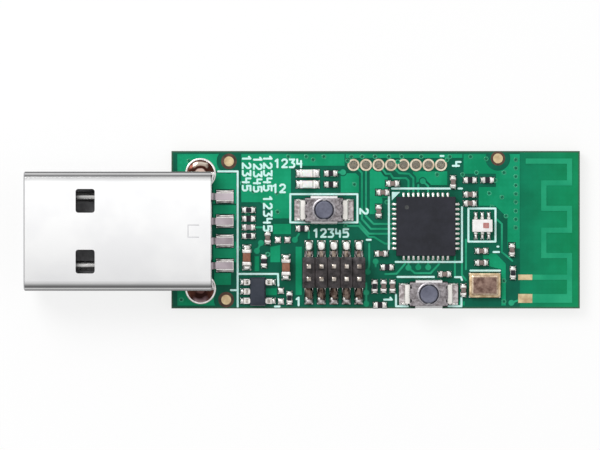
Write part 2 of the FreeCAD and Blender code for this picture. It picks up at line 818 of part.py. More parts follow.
# Debug header: a moulded bar through which two rows of square pins pass, each bent outwards
# under the bar into a foot on the board.
place("header_start", "-(header_pins_per_row - 1) * header_pitch / 2")
bar = body("header_bar", "header_x", "header_y", "copper_top + header_standoff")
drawing = sketch(bar, "outline")
rectangle(drawing, "header_length", "header_width")
pad(bar, drawing, "header_height")
drawing = sketch(bar, "pin_holes", lift="header_height")
for side in ("-", "+"):
    rectangle(drawing, "header_pin", "header_pin", "header_start", f"{side}header_pitch / 2")
row(bar, pocket(bar, drawing), "X_Axis", "header_pins_per_row", "header_pitch")
keep("header_insulator", bar)
for name, side in (("lower", "-"), ("upper", "+")):
    pins = body(f"header_{name}", "header_x", "header_y", "copper_top")
    drawing = sketch(pins, "section", "YZ_Plane", "header_start")
    inner = f"{side}(header_pitch - header_pin) / 2"
    outer = f"{side}(header_pitch + header_pin) / 2"
    foot_end = f"{side}header_foot_span / 2"
    outline(drawing, [
        (f"{inner} {side} header_pin_bevel", "0"),
        (foot_end, "0"),
        (foot_end, "header_pin"),
        (outer, "header_pin"),
        (outer, "header_pin_height - header_pin_bevel"),
        (f"{outer} - ({side}header_pin_bevel)", "header_pin_height"),
        (f"{inner} {side} header_pin_bevel", "header_pin_height"),
        (inner, "header_pin_height - header_pin_bevel"),
        (inner, "header_pin_bevel"),
    ])
    row(pins, pad(pins, drawing, "header_pin", both_ways=True), "X_Axis", "header_pins_per_row", "header_pitch")
    keep(f"header_pins_{name}", pins)
    for number in range(int(amount("header_pins_per_row"))):
        spot(f"header_{name}_pad_{number + 1}", f"header_x + header_start + {number} * header_pitch",
             f"header_y {side} (header_foot_span - header_pad_length) / 2", "header_pad_width", "header_pad_length")

# Voltage regulator: a small moulded body with three bent leads on one side and two on the other.
regulator = body("regulator", "regulator_x", "regulator_y", "copper_top + 0.05")
drawing = sketch(regulator, "outline")
rectangle(drawing, "regulator_width", "regulator_length")
pad(regulator, drawing, "regulator_height - 0.05")
round_edges(regulator, "regulator_bevel", lambda edge: close(edge.Vertexes[0].Z, amount("regulator_height - 0.05"))
            and close(edge.Vertexes[-1].Z, amount("regulator_height - 0.05")), "Chamfer", "Size")
keep("regulator_body", regulator)
rows_of_leads = []
for name, side, count, pitch in (("left", "-", "3", "regulator_pitch"), ("right", "+", "2", "2 * regulator_pitch")):
    leads = body(f"regulator_{name}", "regulator_x", "regulator_y - regulator_pitch", "copper_top")
    drawing = sketch(leads, "section", "XZ_Plane")
    start = f"{side}regulator_width / 2"
    outline(drawing, [
        (start, "regulator_lead_height + regulator_lead_sheet"),
        (f"{start} {side} 0.35 * regulator_lead_reach", "regulator_lead_height + regulator_lead_sheet"),
        (f"{start} {side} 0.65 * regulator_lead_reach", "regulator_lead_sheet"),
        (f"{start} {side} regulator_lead_reach", "regulator_lead_sheet"),
        (f"{start} {side} regulator_lead_reach", "0"),
        (f"{start} {side} 0.5 * regulator_lead_reach", "0"),
        (f"{start} {side} 0.2 * regulator_lead_reach", "regulator_lead_height"),
        (start, "regulator_lead_height"),
    ])
    lead = pad(leads, drawing, "regulator_lead_width", both_ways=True)
    row(leads, lead, "Y_Axis", count, pitch)
    rows_of_leads.append(leads)
    for number in range(int(count)):
        spot(f"regulator_{name}_pad_{number + 1}",
             f"regulator_x {side} (regulator_width + regulator_pad_length + 0.1) / 2",
             f"regulator_y - regulator_pitch + {number} * {pitch}", "regulator_pad_length", "regulator_pad_width")
keep("regulator_leads", group("regulator_leads", rows_of_leads))

# Crystal: a ceramic base with a plated rim, closed by a thin metal lid.
for name, inset, height, level in (
        ("crystal_base", "0", "crystal_base_height", "copper_top"),
        ("crystal_lid", "crystal_rim", "crystal_lid_height", "copper_top + crystal_base_height")):
    plate = body(f"{name}_plate", "crystal_x", "crystal_y", level)
    drawing = sketch(plate, "outline")
    rectangle(drawing, f"crystal_length - 2 * {inset}", f"crystal_width - 2 * {inset}")
    pad(plate, drawing, height)
    round_edges(plate, "crystal_corner_radius", lambda edge: runs_along(edge, "z"))
    keep(name, plate)
for name, x_side, y_side in (("a", "-", "-"), ("b", "-", "+"), ("c", "+", "-"), ("d", "+", "+")):
    spot(f"crystal_pad_{name}", f"crystal_x {x_side} (crystal_length / 2 - 0.55)",
         f"crystal_y {y_side} (crystal_width / 2 - 0.45)", "1.1", "0.9")

# Antenna balun: a ceramic block with three plated terminals on each long side.
keep("balun_body", block("balun", "balun_length", "balun_width", "balun_height",
                         "radio_x", "balun_offset", "copper_top"))
balun_ends = []
for side in ("-", "+"):
    for number in (-1, 0, 1):
        name = f"balun_{'lower' if side == '-' else 'upper'}_{number + 2}"
        x = f"radio_x + {number} * balun_pitch"
        balun_ends.append(block(name, "balun_terminal_width", "balun_terminal_reach", "balun_terminal_height",
                                x, f"balun_offset {side} (balun_width + balun_terminal_reach) / 2", "copper_top"))
        spot(f"{name}_pad", x, f"balun_offset {side} (balun_width / 2 + balun_pad_length / 2 - 0.1)",
             "balun_terminal_width + 0.04", "balun_pad_length")
keep("balun_terminals", group("balun_terminals", balun_ends))

# Light-emitting diodes: a flat base with plated ends and a clear lens moulded on it.
led_ends = []
place("led_x", "header_x + led_shift")
place("led_rise", "switch_2_y + cover_width / 2 + led_gap + led_width / 2")
for number in (1, 2):
    y = f"led_rise + {number - 1} * led_pitch"
    keep(f"led_{number}_base", block(f"led_{number}_base", "led_length - 2 * led_terminal_length", "led_width",
                                     "led_base_height", "led_x", y, "copper_top"))
    lens = block(f"led_{number}_lens_block", "led_lens_length", "led_width", "led_lens_height",
                 "led_x", y, "copper_top + led_base_height")
    keep(f"led_{number}_lens", lens)
    for end, side in (("left", "-"), ("right", "+")):
        x = f"led_x {side} (led_length - led_terminal_length) / 2"
        led_ends.append(block(f"led_{number}_{end}", "led_terminal_length", "led_width", "led_base_height",
                              x, y, "copper_top"))
        spot(f"led_{number}_{end}_pad", f"led_x {side} (led_length / 2 + (led_pad_overhang - pad_under) / 2)",
             y, "led_pad_overhang + pad_under", "led_width")
keep("led_terminals", group("led_terminals", led_ends))

# Chip resistors and capacitors. Each is a ceramic block with a plated cap on both ends, lying
# along X or, where it is turned, along Y. Each place is counted from the piece it serves.
place("supply_y", "regulator_y + regulator_length / 2 + 2.01")
place("stack_y", "supply_y + large_length / 2 + large_pad_overhang + stack_rise + small_width / 2")
place("switch_1_left", "switch_1_x - base_length / 2 - terminal_reach")
place("switch_1_right", "switch_1_x + base_length / 2 + terminal_reach")
stack = ("pads_x + stack_gap + small_length / 2", "stack_y + {} * stack_pitch")
chip_left, chip_right = "chip_x - chip_size / 2", "chip_x + chip_size / 2"
chip_upper, chip_lower = "chip_offset + chip_size / 2", "chip_offset - chip_size / 2"
switch_1_upper = "switch_1_y + cover_width / 2"
small_parts = (
    ("usb_line_resistors", "resistor", "x", stack[0], stack[1].format(3)),
    ("usb_line_resistors", "resistor", "x", stack[0], stack[1].format(2)),
    ("usb_ferrite_bead", "resistor", "x", stack[0], stack[1].format(1)),
    ("pullup_resistors", "resistor", "x", stack[0], stack[1].format(0)),
    ("usb_filter_capacitor", "capacitor", "y", "pads_x + 3.48", "supply_y + 1.98"),
    ("supply_capacitors", "large", "y", "pads_x + 1.35", "supply_y"),
    ("regulator_resistors", "resistor", "y", "pads_x + 3.1", "supply_y - 0.39"),
    ("supply_capacitors", "large", "y", "pads_x + 5.34", "supply_y - 1.0"),
    ("regulator_resistors", "resistor", "y", "regulator_x + 3.2", "regulator_y - 0.66"),
    ("pullup_resistors", "resistor", "x", "header_x - 3.19", "header_y + header_foot_span / 2 + 1.225"),
    ("led_resistors", "resistor", "x", "led_x + 2.35", "led_rise"),
    ("led_resistors", "resistor", "x", "led_x + 2.35", "led_rise + led_pitch"),
    ("core_capacitors", "capacitor", "x", f"{chip_left} - 0.36", f"{chip_upper} + 1.36"),
    ("core_capacitors", "capacitor", "x", f"{chip_left} - 1.36", f"{chip_upper} + 0.46"),
    ("core_capacitors", "capacitor", "y", f"{chip_left} - 1.78", f"{chip_upper} - 1.47"),
    ("analog_capacitors", "capacitor", "y", f"{chip_right} - 0.23", f"{chip_upper} + 1.5"),
    ("analog_capacitors", "capacitor", "x", f"{chip_right} + 1.5", f"{chip_upper} + 0.25"),
    ("analog_capacitors", "capacitor", "x", f"{chip_right} + 1.5", f"{chip_upper} - 0.65"),
    ("bias_resistor", "resistor", "x", f"{chip_right} + 1.5", f"{chip_upper} + 1.71"),
    ("supply_ferrite_bead", "resistor", "x", f"{chip_right} + 3.27", f"{chip_upper} + 1.71"),
    ("filter_capacitors", "capacitor", "x", f"{chip_left} - 1.52", f"{chip_lower} + 0.24"),
    ("pullup_resistors", "resistor", "x", f"{chip_left} - 0.92", f"{chip_lower} - 1.15"),
    ("filter_capacitors", "capacitor", "y", "switch_1_left - 1.57", "switch_1_y + 0.78"),
    ("filter_capacitors", "capacitor", "y", "switch_1_left - 0.67", "switch_1_y + 0.78"),
    ("pullup_resistors", "resistor", "y", "switch_1_left - 2.48", "switch_1_y + 0.76"),
    ("pullup_resistors", "resistor", "x", "switch_1_left - 1.94", "bottom_y + 0.36"),
    ("crystal_load_capacitors", "capacitor", "x", "switch_1_x + 1.64", f"{switch_1_upper} + 0.57"),
    ("crystal_load_capacitors", "capacitor", "y", "(switch_1_right + crystal_x - crystal_length / 2) / 2",
     "crystal_y - 0.52"),
    ("matching_capacitors", "capacitor", "x", "radio_x - 0.08", "balun_offset - balun_width / 2 - 1.93"),
    ("matching_capacitors", "capacitor", "x", "radio_x - 0.08", "balun_offset - balun_width / 2 - 3.13"),
    ("matching_capacitors", "capacitor", "y", "antenna_x - 0.8", "balun_offset - balun_width / 2 - 1.83"),
    ("matching_inductor", "resistor", "y", "antenna_x - 0.7", "balun_offset - balun_width / 2 - 4.17"),
)
shapes_of = {
    "resistor": ("small_length", "small_width", "resistor_height", "small_cap", "pad_overhang"),
    "capacitor": ("small_length", "small_width", "capacitor_height", "small_cap", "pad_overhang"),
    "large": ("large_length", "large_width", "large_height", "large_cap", "large_pad_overhang"),
}
ceramics = {}
caps = {"resistor_terminations": [], "capacitor_terminations": []}


def lying(name, axis, length, width, height, x, y, z):
    """A block whose length lies along X or along Y."""
    if axis == "x":
        return block(name, length, width, height, x, y, z)
    return block(name, width, length, height, x, y, z)


def shifted(axis, x, y, amount_along):
    """A place moved along the part's own length."""
    if axis == "x":
        return f"{x} + {amount_along}", y
    return x, f"{y} + {amount_along}"


for number, (node, kind, axis, x, y) in enumerate(small_parts, 1):
    length, width, height, cap, overhang = shapes_of[kind]
    part = f"{kind}_{number}"
    core = lying(f"{part}_core", axis, f"{length} - 2 * {cap}", width, height, x, y, "copper_top")
    ceramics.setdefault(node, []).append(core)
    for end, sign in (("start", "-1"), ("finish", "1")):
        at = shifted(axis, x, y, f"{sign} * ({length} - {cap}) / 2")
        family = "resistor_terminations" if kind == "resistor" else "capacitor_terminations"
        caps[family].append(lying(f"{part}_{end}", axis, cap, width, height, *at, "copper_top"))
        at = shifted(axis, x, y, f"{sign} * ({length} + {overhang} - pad_under) / 2")
        size = (f"{overhang} + pad_under", f"{width} + 2 * pad_side")
        spot(f"{part}_{end}_pad", *at, *(size if axis == "x" else size[::-1]))
for node, cores in ceramics.items():
    keep(node, group(node, cores))
for node, ends in caps.items():
    keep(node, group(node, ends))

# Bare pads for parts that were left off this board
for name, x, y in (
        ("spare_pad_1", "pads_x + 4.52", "-1.03"),
        ("spare_pad_2", "pads_x + 5.49", "-1.03"),
        ("spare_pad_3", "regulator_x + 2.34", "regulator_y + 0.06"),
        ("spare_pad_4", "regulator_x + 2.34", "regulator_y - 1.01")):
    spot(name, x, y, "0.6", "0.6")
keep("solder_pads", group("solder_pads", solder_pads))

# Antenna: one copper track, folded back and forth to a quarter of the radio's wavelength.
# It is fed through one bare pad and grounded through the other.
place("outer_x", "end_x - antenna_end_gap - antenna_trace / 2")
place("inner_x", "outer_x - antenna_meander_reach")
place("arm_y", "top_y - antenna_edge_gap")
place("antenna_inner_run", "(board_width - 2 * antenna_edge_gap - antenna_feed_run - antenna_ground_run) / 2"
      " - antenna_outer_run")
place("feed_x", "antenna_x - antenna_feed_inset")
place("feed_y", "arm_y - 2 * antenna_outer_run - 2 * antenna_inner_run - antenna_feed_run")
place("ground_y", "feed_y - antenna_ground_run")
runs = [("outer_x", "outer_x - antenna_top_reach", "arm_y")]
levels = ["arm_y"]
for fold in ("antenna_outer_run", "antenna_inner_run", "antenna_outer_run", "antenna_inner_run"):
    levels.append(f"{levels[-1]} - {fold}")
    runs.append(("outer_x", "inner_x", levels[-1]))
track = []
for number, (right, left, y) in enumerate(runs):
    track.append(block(f"antenna_run_{number}", f"{right} - ({left}) + antenna_trace", "antenna_trace",
                       "copper_thickness", f"({right} + {left}) / 2", y, "board_top"))
for number, x in enumerate(("outer_x", "inner_x", "outer_x", "inner_x")):
    high, low = levels[number], levels[number + 1]
    track.append(block(f"antenna_fold_{number}", "antenna_trace", f"{high} - ({low})", "copper_thickness",
                       x, f"({high} + {low}) / 2", "board_top"))
track.append(block("antenna_last_fold", "antenna_trace", f"{levels[-1]} - ground_y", "copper_thickness",
                   "outer_x", f"({levels[-1]} + ground_y) / 2", "board_top"))
feed_pads = []
for name, y, width in (("feed", "feed_y", "antenna_trace"), ("ground", "ground_y", "antenna_ground_trace")):
    start = "feed_x + antenna_feed_pad"
    track.append(block(f"antenna_{name}_arm", f"outer_x + antenna_trace / 2 - ({start})", width,
                       "copper_thickness", f"(outer_x + antenna_trace / 2 + {start}) / 2", y, "board_top"))
    feed_pads.append(block(f"antenna_{name}_pad", "antenna_feed_pad", width, "copper_thickness",
                           "feed_x + antenna_feed_pad / 2", y, "board_top"))
keep("antenna_trace", fuse("antenna_trace", track))
keep("antenna_feed_pads", group("antenna_feed_pads", feed_pads))

doc.recompute()

# The copper areas, tracks and printed lines below are drawn as routes, each point counted
# from the piece that the route serves.
board_top = amount("board_top")
copper = amount("copper_thickness")
at_pads, at_header, at_chip = amount("pads_x"), amount("header_x"), amount("chip_x")
at_radio, at_antenna = amount("radio_x"), amount("antenna_x")
at_edge = amount("edge_x")
upper_edge = amount("top_y - edge_clearance")
lower_edge = amount("bottom_y + edge_clearance")
chip_y, header_y = amount("chip_offset"), amount("header_y")
chip_half = amount("chip_size / 2")
plug_upper, plug_lower = amount("plug_offset + shell_width / 2"), amount("plug_offset - shell_width / 2")
power_upper, power_lower = (amount(f"plug_offset {side} power_contact_spacing / 2") for side in "+-")
data_upper, data_lower = (amount(f"plug_offset {side} data_contact_spacing / 2") for side in "+-")
hole_x, hole_y = amount("hole_x"), amount("hole_y")
switch_1_x, switch_1_y = amount("switch_1_x"), amount("switch_1_y")
switch_2_x, switch_2_y = amount("switch_2_x"), amount("switch_2_y")


def stroke(points, width, height):
    """A line of even width along a route, with round ends."""
    corners = [Vector(x, y, board_top) for x, y in points]
    rise = Vector(0, 0, height)
    if len(corners) > 2:
        return Part.makePolygon(corners).makeOffset2D(width / 2, 0, True, False, False).extrude(rise)
    start, finish = corners
    ahead = (finish - start).normalize() * (width / 2)
    aside = ahead.cross(Vector(0, 0, 1))
    edges = [
        Part.makeLine(start + aside, finish + aside),
        Part.Arc(finish + aside, finish + ahead, finish - aside).toShape(),
        Part.makeLine(finish - aside, start - aside),
        Part.Arc(start - aside, start - ahead, start + aside).toShape(),
    ]
    return Part.Face(Part.Wire(edges)).extrude(rise)


def area(points, height):
    """A flat patch inside an outline."""
    corners = [Vector(x, y, board_top) for x, y in points]
    return Part.Face(Part.makePolygon(corners + corners[:1])).extrude(Vector(0, 0, height))


def disc(x, y, radius, height):
    """A round patch."""
    return Part.makeCylinder(radius, height, Vector(x, y, board_top))


def trimmed(shape, tools):
    """A shape less every tool that comes near it."""
    if not shape.Solids:
        return shape
    near = [tool for tool in tools if tool.Solids and tool.BoundBox.intersect(shape.BoundBox)]
    return shape.cut(near) if near else shape


def whole(shape, smallest):
    """The solids of a shape, without crumbs whose area is below the smallest one."""
    return [solid for solid in shape.Solids if solid.Volume > smallest * copper]


def feature(name, solids):
    """A sub-part whose solids are worked out from routes."""
    item = doc.addObject("Part::Feature", name)
    item.Shape = Part.makeCompound(solids)
    return keep(name, item)


pads = [item.Shape for item in solder_pads]
rings = pieces["io_hole_rings"].Shape.Solids
bare_pads = [item.Shape for item in feed_pads]
trace, via = amount("trace_width"), amount("via_radius")
pitch = amount("hole_pitch")
pin_left = at_chip - amount("chip_size / 2 + chip_terminal_reach")
pin_top = chip_y + amount("chip_size / 2 + chip_terminal_reach")
pin_bottom = chip_y - amount("chip_size / 2 + chip_terminal_reach")

# Signal tracks: each is a route, and a mark per point, o where a plated hole takes it through
routes = [
    ([(hole_x + 0.4, hole_y - 0.35), (hole_x + 0.86, hole_y - 0.8), (hole_x + 0.86, chip_y + 0.75),
      (hole_x + 1.77, chip_y - 0.25), (pin_left, chip_y - 0.25)], ""),
    ([(hole_x + pitch, hole_y - 0.5), (hole_x + pitch, chip_y + 1.05), (hole_x + 2.05, chip_y + 0.25),
      (pin_left, chip_y + 0.25)], ""),
    ([(switch_2_x + 3.55, switch_2_y - 1.22), (switch_2_x + 3.76, switch_2_y - 1.53),
      (hole_x + 1.57, chip_y - 0.75), (pin_left, chip_y - 0.75)], ""),
    ([(switch_2_x + 2.13, switch_2_y - 1.63), (switch_2_x + 3.55, switch_2_y - 1.63),
      (switch_2_x + 4.57, switch_2_y - 2.75), (switch_2_x + 5.08, switch_2_y - 2.75),
      (pin_left - 0.7, chip_y - 1.75), (pin_left, chip_y - 1.75)], ""),
    ([(hole_x + 2 * pitch + 0.4, hole_y - 0.4), (hole_x + 3.3, hole_y - 0.9), (hole_x + 3.75, hole_y - 0.9),
      (at_chip - 3.3, pin_top + 1.45), (at_chip - 2.0, pin_top + 1.45), (at_chip - 1.75, pin_top + 1.2),
      (at_chip - 1.75, pin_top)], ""),
    ([(hole_x + 3 * pitch + 0.4, hole_y - 0.4), (hole_x + 4.65, hole_y - 0.85), (at_chip - 1.7, pin_top + 1.9),
      (at_chip - 1.25, pin_top + 1.45), (at_chip - 1.25, pin_top)], ""),
    ([(at_chip - 0.75, pin_top + 0.75), (at_chip - 0.75, pin_top)], ""),
    ([(at_chip + 0.25, pin_top), (at_chip + 0.25, pin_top + 0.65), (at_chip - 0.3, pin_top + 1.15)], "--o"),
    ([(at_header + 3.6, header_y + 2.9), (at_header + 3.6, header_y + 0.75),
      (at_header + 3.45, header_y + 0.05)], "--o"),
    ([(at_header + 4.25, header_y + 1.1), (at_header + 4.25, header_y + 0.6)], "o-"),
    ([(at_header - 2.54, header_y + 3.5), (at_header - 2.54, header_y + 4.2)], ""),
    ([(at_chip - 2.1, pin_bottom), (at_chip - 2.1, pin_bottom - 0.35), (at_chip - 2.95, pin_bottom - 1.35),
      (at_chip - 4.1, pin_bottom - 1.4)], ""),
    ([(at_chip - 1.75, pin_bottom - 0.1), (at_chip - 1.75, pin_bottom - 0.75),
      (at_chip - 1.1, pin_bottom - 1.3), (at_chip + 0.5, pin_bottom - 1.3), (at_chip + 1.35, pin_bottom - 0.4)],
     "-o---"),
    ([(at_chip - 0.75, pin_bottom), (at_chip - 0.75, pin_bottom - 0.7)], "-o"),
    ([(at_chip + 0.25, pin_bottom), (at_chip + 0.25, pin_bottom - 0.7)], "-o"),
    ([(at_header + 3.3, header_y - 1.1), (at_header + 3.3, header_y - 2.05),
      (at_header + 3.3, header_y - 3.2)], "-oo"),
    ([(at_chip + 2.97, pin_bottom + 0.6), (at_chip + 2.97, pin_bottom - 1.6)], ""),
    ([(at_radio - 1.65, pin_bottom + 2.1), (at_radio - 1.65, pin_bottom - 0.9)], ""),
    ([(at_radio - 2.06, pin_bottom - 0.3), (at_radio - 2.06, pin_bottom - 1.5),
      (at_radio - 1.65, pin_bottom - 2.0)], ""),
    ([(at_radio + 1.5, chip_y + 0.7), (at_radio + 2.0, chip_y + 0.25), (at_radio + 2.0, chip_y - 2.6),
      (at_antenna - 0.75, chip_y - 3.5)], ""),
    ([(at_pads + 2.1, 0.25), (at_pads + 3.0, 0.25), (at_pads + 3.35, -0.05)], ""),
    ([(at_pads + 2.39, -2.15), (at_pads + 2.8, -1.34)], "oo"),
    ([(at_header - 3.95, header_y + 3.3), (at_header - 3.55, header_y + 3.9)], "o-"),
    ([(at_antenna - 0.85, amount("ground_y") - 0.45), (at_antenna - 0.2, amount("ground_y") - 0.2)], "o-"),
    ([(at_header + 0.93, hole_y - 0.75), (at_header + 0.5, hole_y - 0.75)], "o-"),
]
tracks = []
vias = []
for points, marks in routes:
    through = [point for point, mark in zip(points, marks) if mark == "o"]
    ends = [disc(x, y, via, copper) for x, y in through]
    line = stroke(points, trace, copper)
    track = line.fuse(ends).removeSplitter() if ends else line
    tracks += whole(trimmed(track, pads + rings + bare_pads), trace * trace)
    vias += through
tracks = tracks[0].fuse(tracks[1:]).Solids
feature("signal_traces", tracks)

# Ground areas: broad patches of copper, kept clear of the tracks, pads, holes and edges
patches = [
    [(at_edge + 0.6, upper_edge), (at_pads - 1.2, upper_edge), (at_pads - 1.2, upper_edge - 1.75),
     (at_edge + 0.6, upper_edge - 1.75)],
    [(at_pads - 2.05, plug_upper - 0.11), (at_pads + 0.28, plug_upper - 0.11),
     (at_pads + 0.28, power_upper - 0.71), (at_pads - 2.05, power_upper - 0.71)],
    [(at_pads - 2.05, power_upper - 0.86), (at_pads + 0.28, power_upper - 0.86),
     (at_pads + 0.28, data_upper + 0.14), (at_pads - 2.05, data_upper + 0.14)],
    [(at_pads - 2.05, data_lower - 0.06), (at_pads + 0.28, data_lower - 0.06),
     (at_pads + 0.28, power_lower + 0.34), (at_pads - 2.05, power_lower + 0.34)],
    [(at_pads - 1.95, power_lower + 0.19), (at_pads - 0.25, power_lower + 0.19),
     (at_pads - 0.25, plug_lower + 0.54), (at_pads - 1.95, plug_lower + 0.54)],
    [(at_edge + 0.6, lower_edge), (at_edge + 4.6, lower_edge), (at_edge + 4.6, lower_edge + 0.9),
     (at_edge + 1.4, lower_edge + 1.6), (at_edge + 0.6, lower_edge + 1.6)],
    [(at_pads + 0.8, upper_edge), (hole_x - 0.9, upper_edge), (hole_x - 0.9, upper_edge - 1.2),
     (at_header - 4.35, upper_edge - 1.2), (at_header - 4.35, 1.15), (at_pads + 4.0, 1.15),
     (at_pads + 4.0, 1.7), (at_pads + 2.75, 2.8), (at_pads + 0.8, 2.8)],
    [(at_pads + 4.05, 0.6), (at_header - 4.35, 0.6), (at_header - 4.35, -0.45), (at_pads + 4.05, -0.45)],
    [(hole_x - 1.3, hole_y - 1.05), (hole_x - 0.75, hole_y - 0.85), (hole_x + 0.25, hole_y - 0.85),
     (hole_x + 0.55, hole_y - 1.15), (hole_x + 0.55, switch_2_y + 1.75), (hole_x - 1.3, switch_2_y + 1.75)],
    [(hole_x + 1.65, hole_y - 0.4), (pin_left - 0.4, hole_y - 0.4), (pin_left - 0.4, chip_y + 2.9),
     (pin_left - 0.95, chip_y + 2.9), (pin_left - 0.95, chip_y + 1.25), (hole_x + 1.65, chip_y + 1.25)],
    [(at_chip - 1.3, hole_y - 0.65), (at_chip + 2.2, hole_y - 0.65), (at_chip + 2.2, pin_top + 0.75),
     (at_chip - 1.3, pin_top + 0.75)],
    [(hole_x - 0.8, upper_edge), (at_radio - 2.0, upper_edge), (at_radio - 2.0, upper_edge - 0.4),
     (hole_x - 0.8, upper_edge - 0.4)],
    [(at_radio - 1.9, upper_edge), (at_antenna, upper_edge), (at_antenna, chip_y - 2.25),
     (at_antenna - 1.25, chip_y - 2.25), (at_antenna - 1.25, chip_y + 0.85), (at_antenna - 2.5, chip_y + 2.1),
     (at_radio - 0.35, chip_y + 2.1), (at_radio - 0.35, pin_top + 0.55), (at_radio + 1.4, pin_top + 0.55),
     (at_radio + 1.4, pin_top + 1.9), (at_radio - 1.9, pin_top + 1.9)],
    [(at_radio, pin_bottom + 0.7), (at_radio + 1.4, pin_bottom + 0.7), (at_radio + 2.4, pin_bottom - 0.35),
     (at_radio + 2.4, lower_edge), (at_radio + 1.95, lower_edge), (at_radio + 1.95, pin_bottom - 0.9),
     (at_radio + 0.3, pin_bottom - 0.5)],
    [(at_header - 3.88, header_y + 2.6), (at_header - 3.25, header_y + 2.6), (at_header - 3.25, header_y - 2.3),
     (at_header - 3.88, header_y - 2.3)],
    [(at_pads + 3.3, -5.95), (at_pads + 4.4, -5.95), (at_pads + 4.4, -6.65), (at_pads + 3.3, -6.65)],
    [(at_pads + 2.15, -2.7), (at_pads + 2.6, -2.7), (at_pads + 2.6, -4.2), (at_pads + 2.15, -4.2)],
    [(at_pads + 3.75, -1.75), (at_pads + 4.75, -1.55), (at_pads + 4.75, -3.3), (at_pads + 3.75, -3.3)],
    [(switch_1_x + 2.15, switch_1_y - 1.12), (switch_1_x + 3.1, switch_1_y - 1.12),
     (switch_1_x + 3.1, switch_1_y - 0.75), (switch_1_x + 3.7, switch_1_y - 0.75),
     (switch_1_x + 3.7, lower_edge), (switch_1_x + 2.15, lower_edge)],
]
clearance, smallest_patch = amount("copper_clearance"), amount("smallest_patch")
free = [stroke(points, trace + 2 * clearance, copper) for points, _ in routes]
free += [disc(x, y, via + clearance / 2, copper) for x, y in vias]
free += [disc(amount(x), amount(y), amount("fiducial_opening / 2"), copper) for _, x, y in fiducials]
free += [disc(hole_x + number * pitch, hole_y, amount("ring_radius") + clearance / 2, copper)
         for number in range(int(amount("hole_count")))]
for box in [pad.BoundBox for pad in pads]:
    free.append(Part.makeBox(box.XLength + clearance, box.YLength + clearance, copper,
                             Vector(box.XMin - clearance / 2, box.YMin - clearance / 2, board_top)))
free += [land.Shape for land in lands]
free += [disc(amount("leg_x"), amount(f"plug_offset {side} leg_reach"), amount("leg_hole_radius"), copper)
         for side in ("-", "+")]
free.append(Part.makeBox(amount("shell_overlap"), amount("shell_width"), copper,
                         Vector(at_edge, amount("plug_offset - shell_width / 2"), board_top)))
pour = [solid for points in patches for solid in whole(trimmed(area(points, copper), free), smallest_patch)]
feature("ground_pour", pour)

# Silkscreen: white printed lines round the larger parts, with plain numbers between them
regulator_x, regulator_y = amount("regulator_x"), amount("regulator_y")
frame_x = at_pads + 0.43
chip_right, chip_left = at_chip + chip_half + 0.68, at_chip - chip_half - 0.74
chip_above, chip_below = chip_y + chip_half + 0.85, chip_y - chip_half - 0.61
balun_above, balun_below = (amount(f"balun_offset {side} balun_width / 2") for side in "+-")
outlines = [
    [[(amount("edge_x + shell_overlap") + 0.65, plug_upper + 0.07), (frame_x, plug_upper + 0.07),
      (frame_x, amount("bottom_y") + 0.2)],
     [(frame_x, regulator_y + 1.78), (regulator_x + 2.03, regulator_y + 1.78),
      (regulator_x + 2.08, regulator_y + 0.6)],
     [(at_pads - 0.25, plug_lower), (frame_x, plug_lower)]],
    [[(regulator_x + 1.73, lower_edge - 0.1), (regulator_x + 2.2, lower_edge - 0.1)]],
    [[(switch_2_x - 3.42, switch_2_y - 1.27), (switch_2_x - 3.42, switch_2_y + 1.6),
      (switch_2_x + 3.4, switch_2_y + 1.6), (switch_2_x + 3.4, switch_2_y - 1.27)],
     [(switch_2_x - 3.42, switch_2_y - 1.27), (switch_2_x + 3.4, switch_2_y - 1.27)]],
    [[(switch_1_x - 3.15, switch_1_y + 1.73), (switch_1_x + 0.55, switch_1_y + 1.73)]],
    [[(switch_1_x + 2.7, switch_1_y + 1.71), (switch_1_x + 3.3, switch_1_y + 1.71),
      (switch_1_x + 3.4, switch_1_y + 1.42)]],
    [[(switch_1_x + 3.35, switch_1_y - 0.35), (switch_1_x + 3.35, switch_1_y - 1.25),
      (switch_1_x + 2.05, switch_1_y - 1.25)]],
    [[(switch_1_x - 3.3, switch_1_y - 0.1), (switch_1_x - 3.3, switch_1_y - 1.25),
      (switch_1_x - 2.1, switch_1_y - 1.25)]],
    [[(chip_left + 0.32, chip_above), (chip_right - 1.18, chip_above)]],
    [[(chip_right - 0.35, chip_above), (chip_right, chip_above)]],
    [[(chip_left, chip_above - 0.85), (chip_left, chip_below + 1.31)]],
    [[(chip_right, chip_above - 1.9), (chip_right, chip_below), (chip_left + 0.69, chip_below)]],
    [[(at_radio - 1.4, balun_below - 0.98), (at_radio - 1.4, balun_above + 1.12),
      (at_radio + 1.35, balun_above + 1.12), (at_radio + 1.35, balun_below - 0.98)],
     [(at_radio - 1.4, balun_below - 0.98), (at_radio + 1.35, balun_below - 0.98)]],
    [[(at_radio - 1.2, amount("crystal_y + crystal_width / 2") + 0.24),
      (at_radio + 1.8, amount("crystal_y + crystal_width / 2") + 0.24)]],
    [[(at_radio + 1.15, chip_y - 2.6), (at_radio + 1.7, chip_y - 2.6)]],
    [[(at_radio + 1.55, chip_y - 2.05), (at_radio + 1.65, chip_y - 2.05)]],
    [[(at_header + 3.35, header_y + 3.3), (at_header + 3.75, header_y + 3.3)]],
    [[(at_chip + 1.52, upper_edge - 0.2), (at_chip + 1.8, upper_edge - 0.2)]],
]
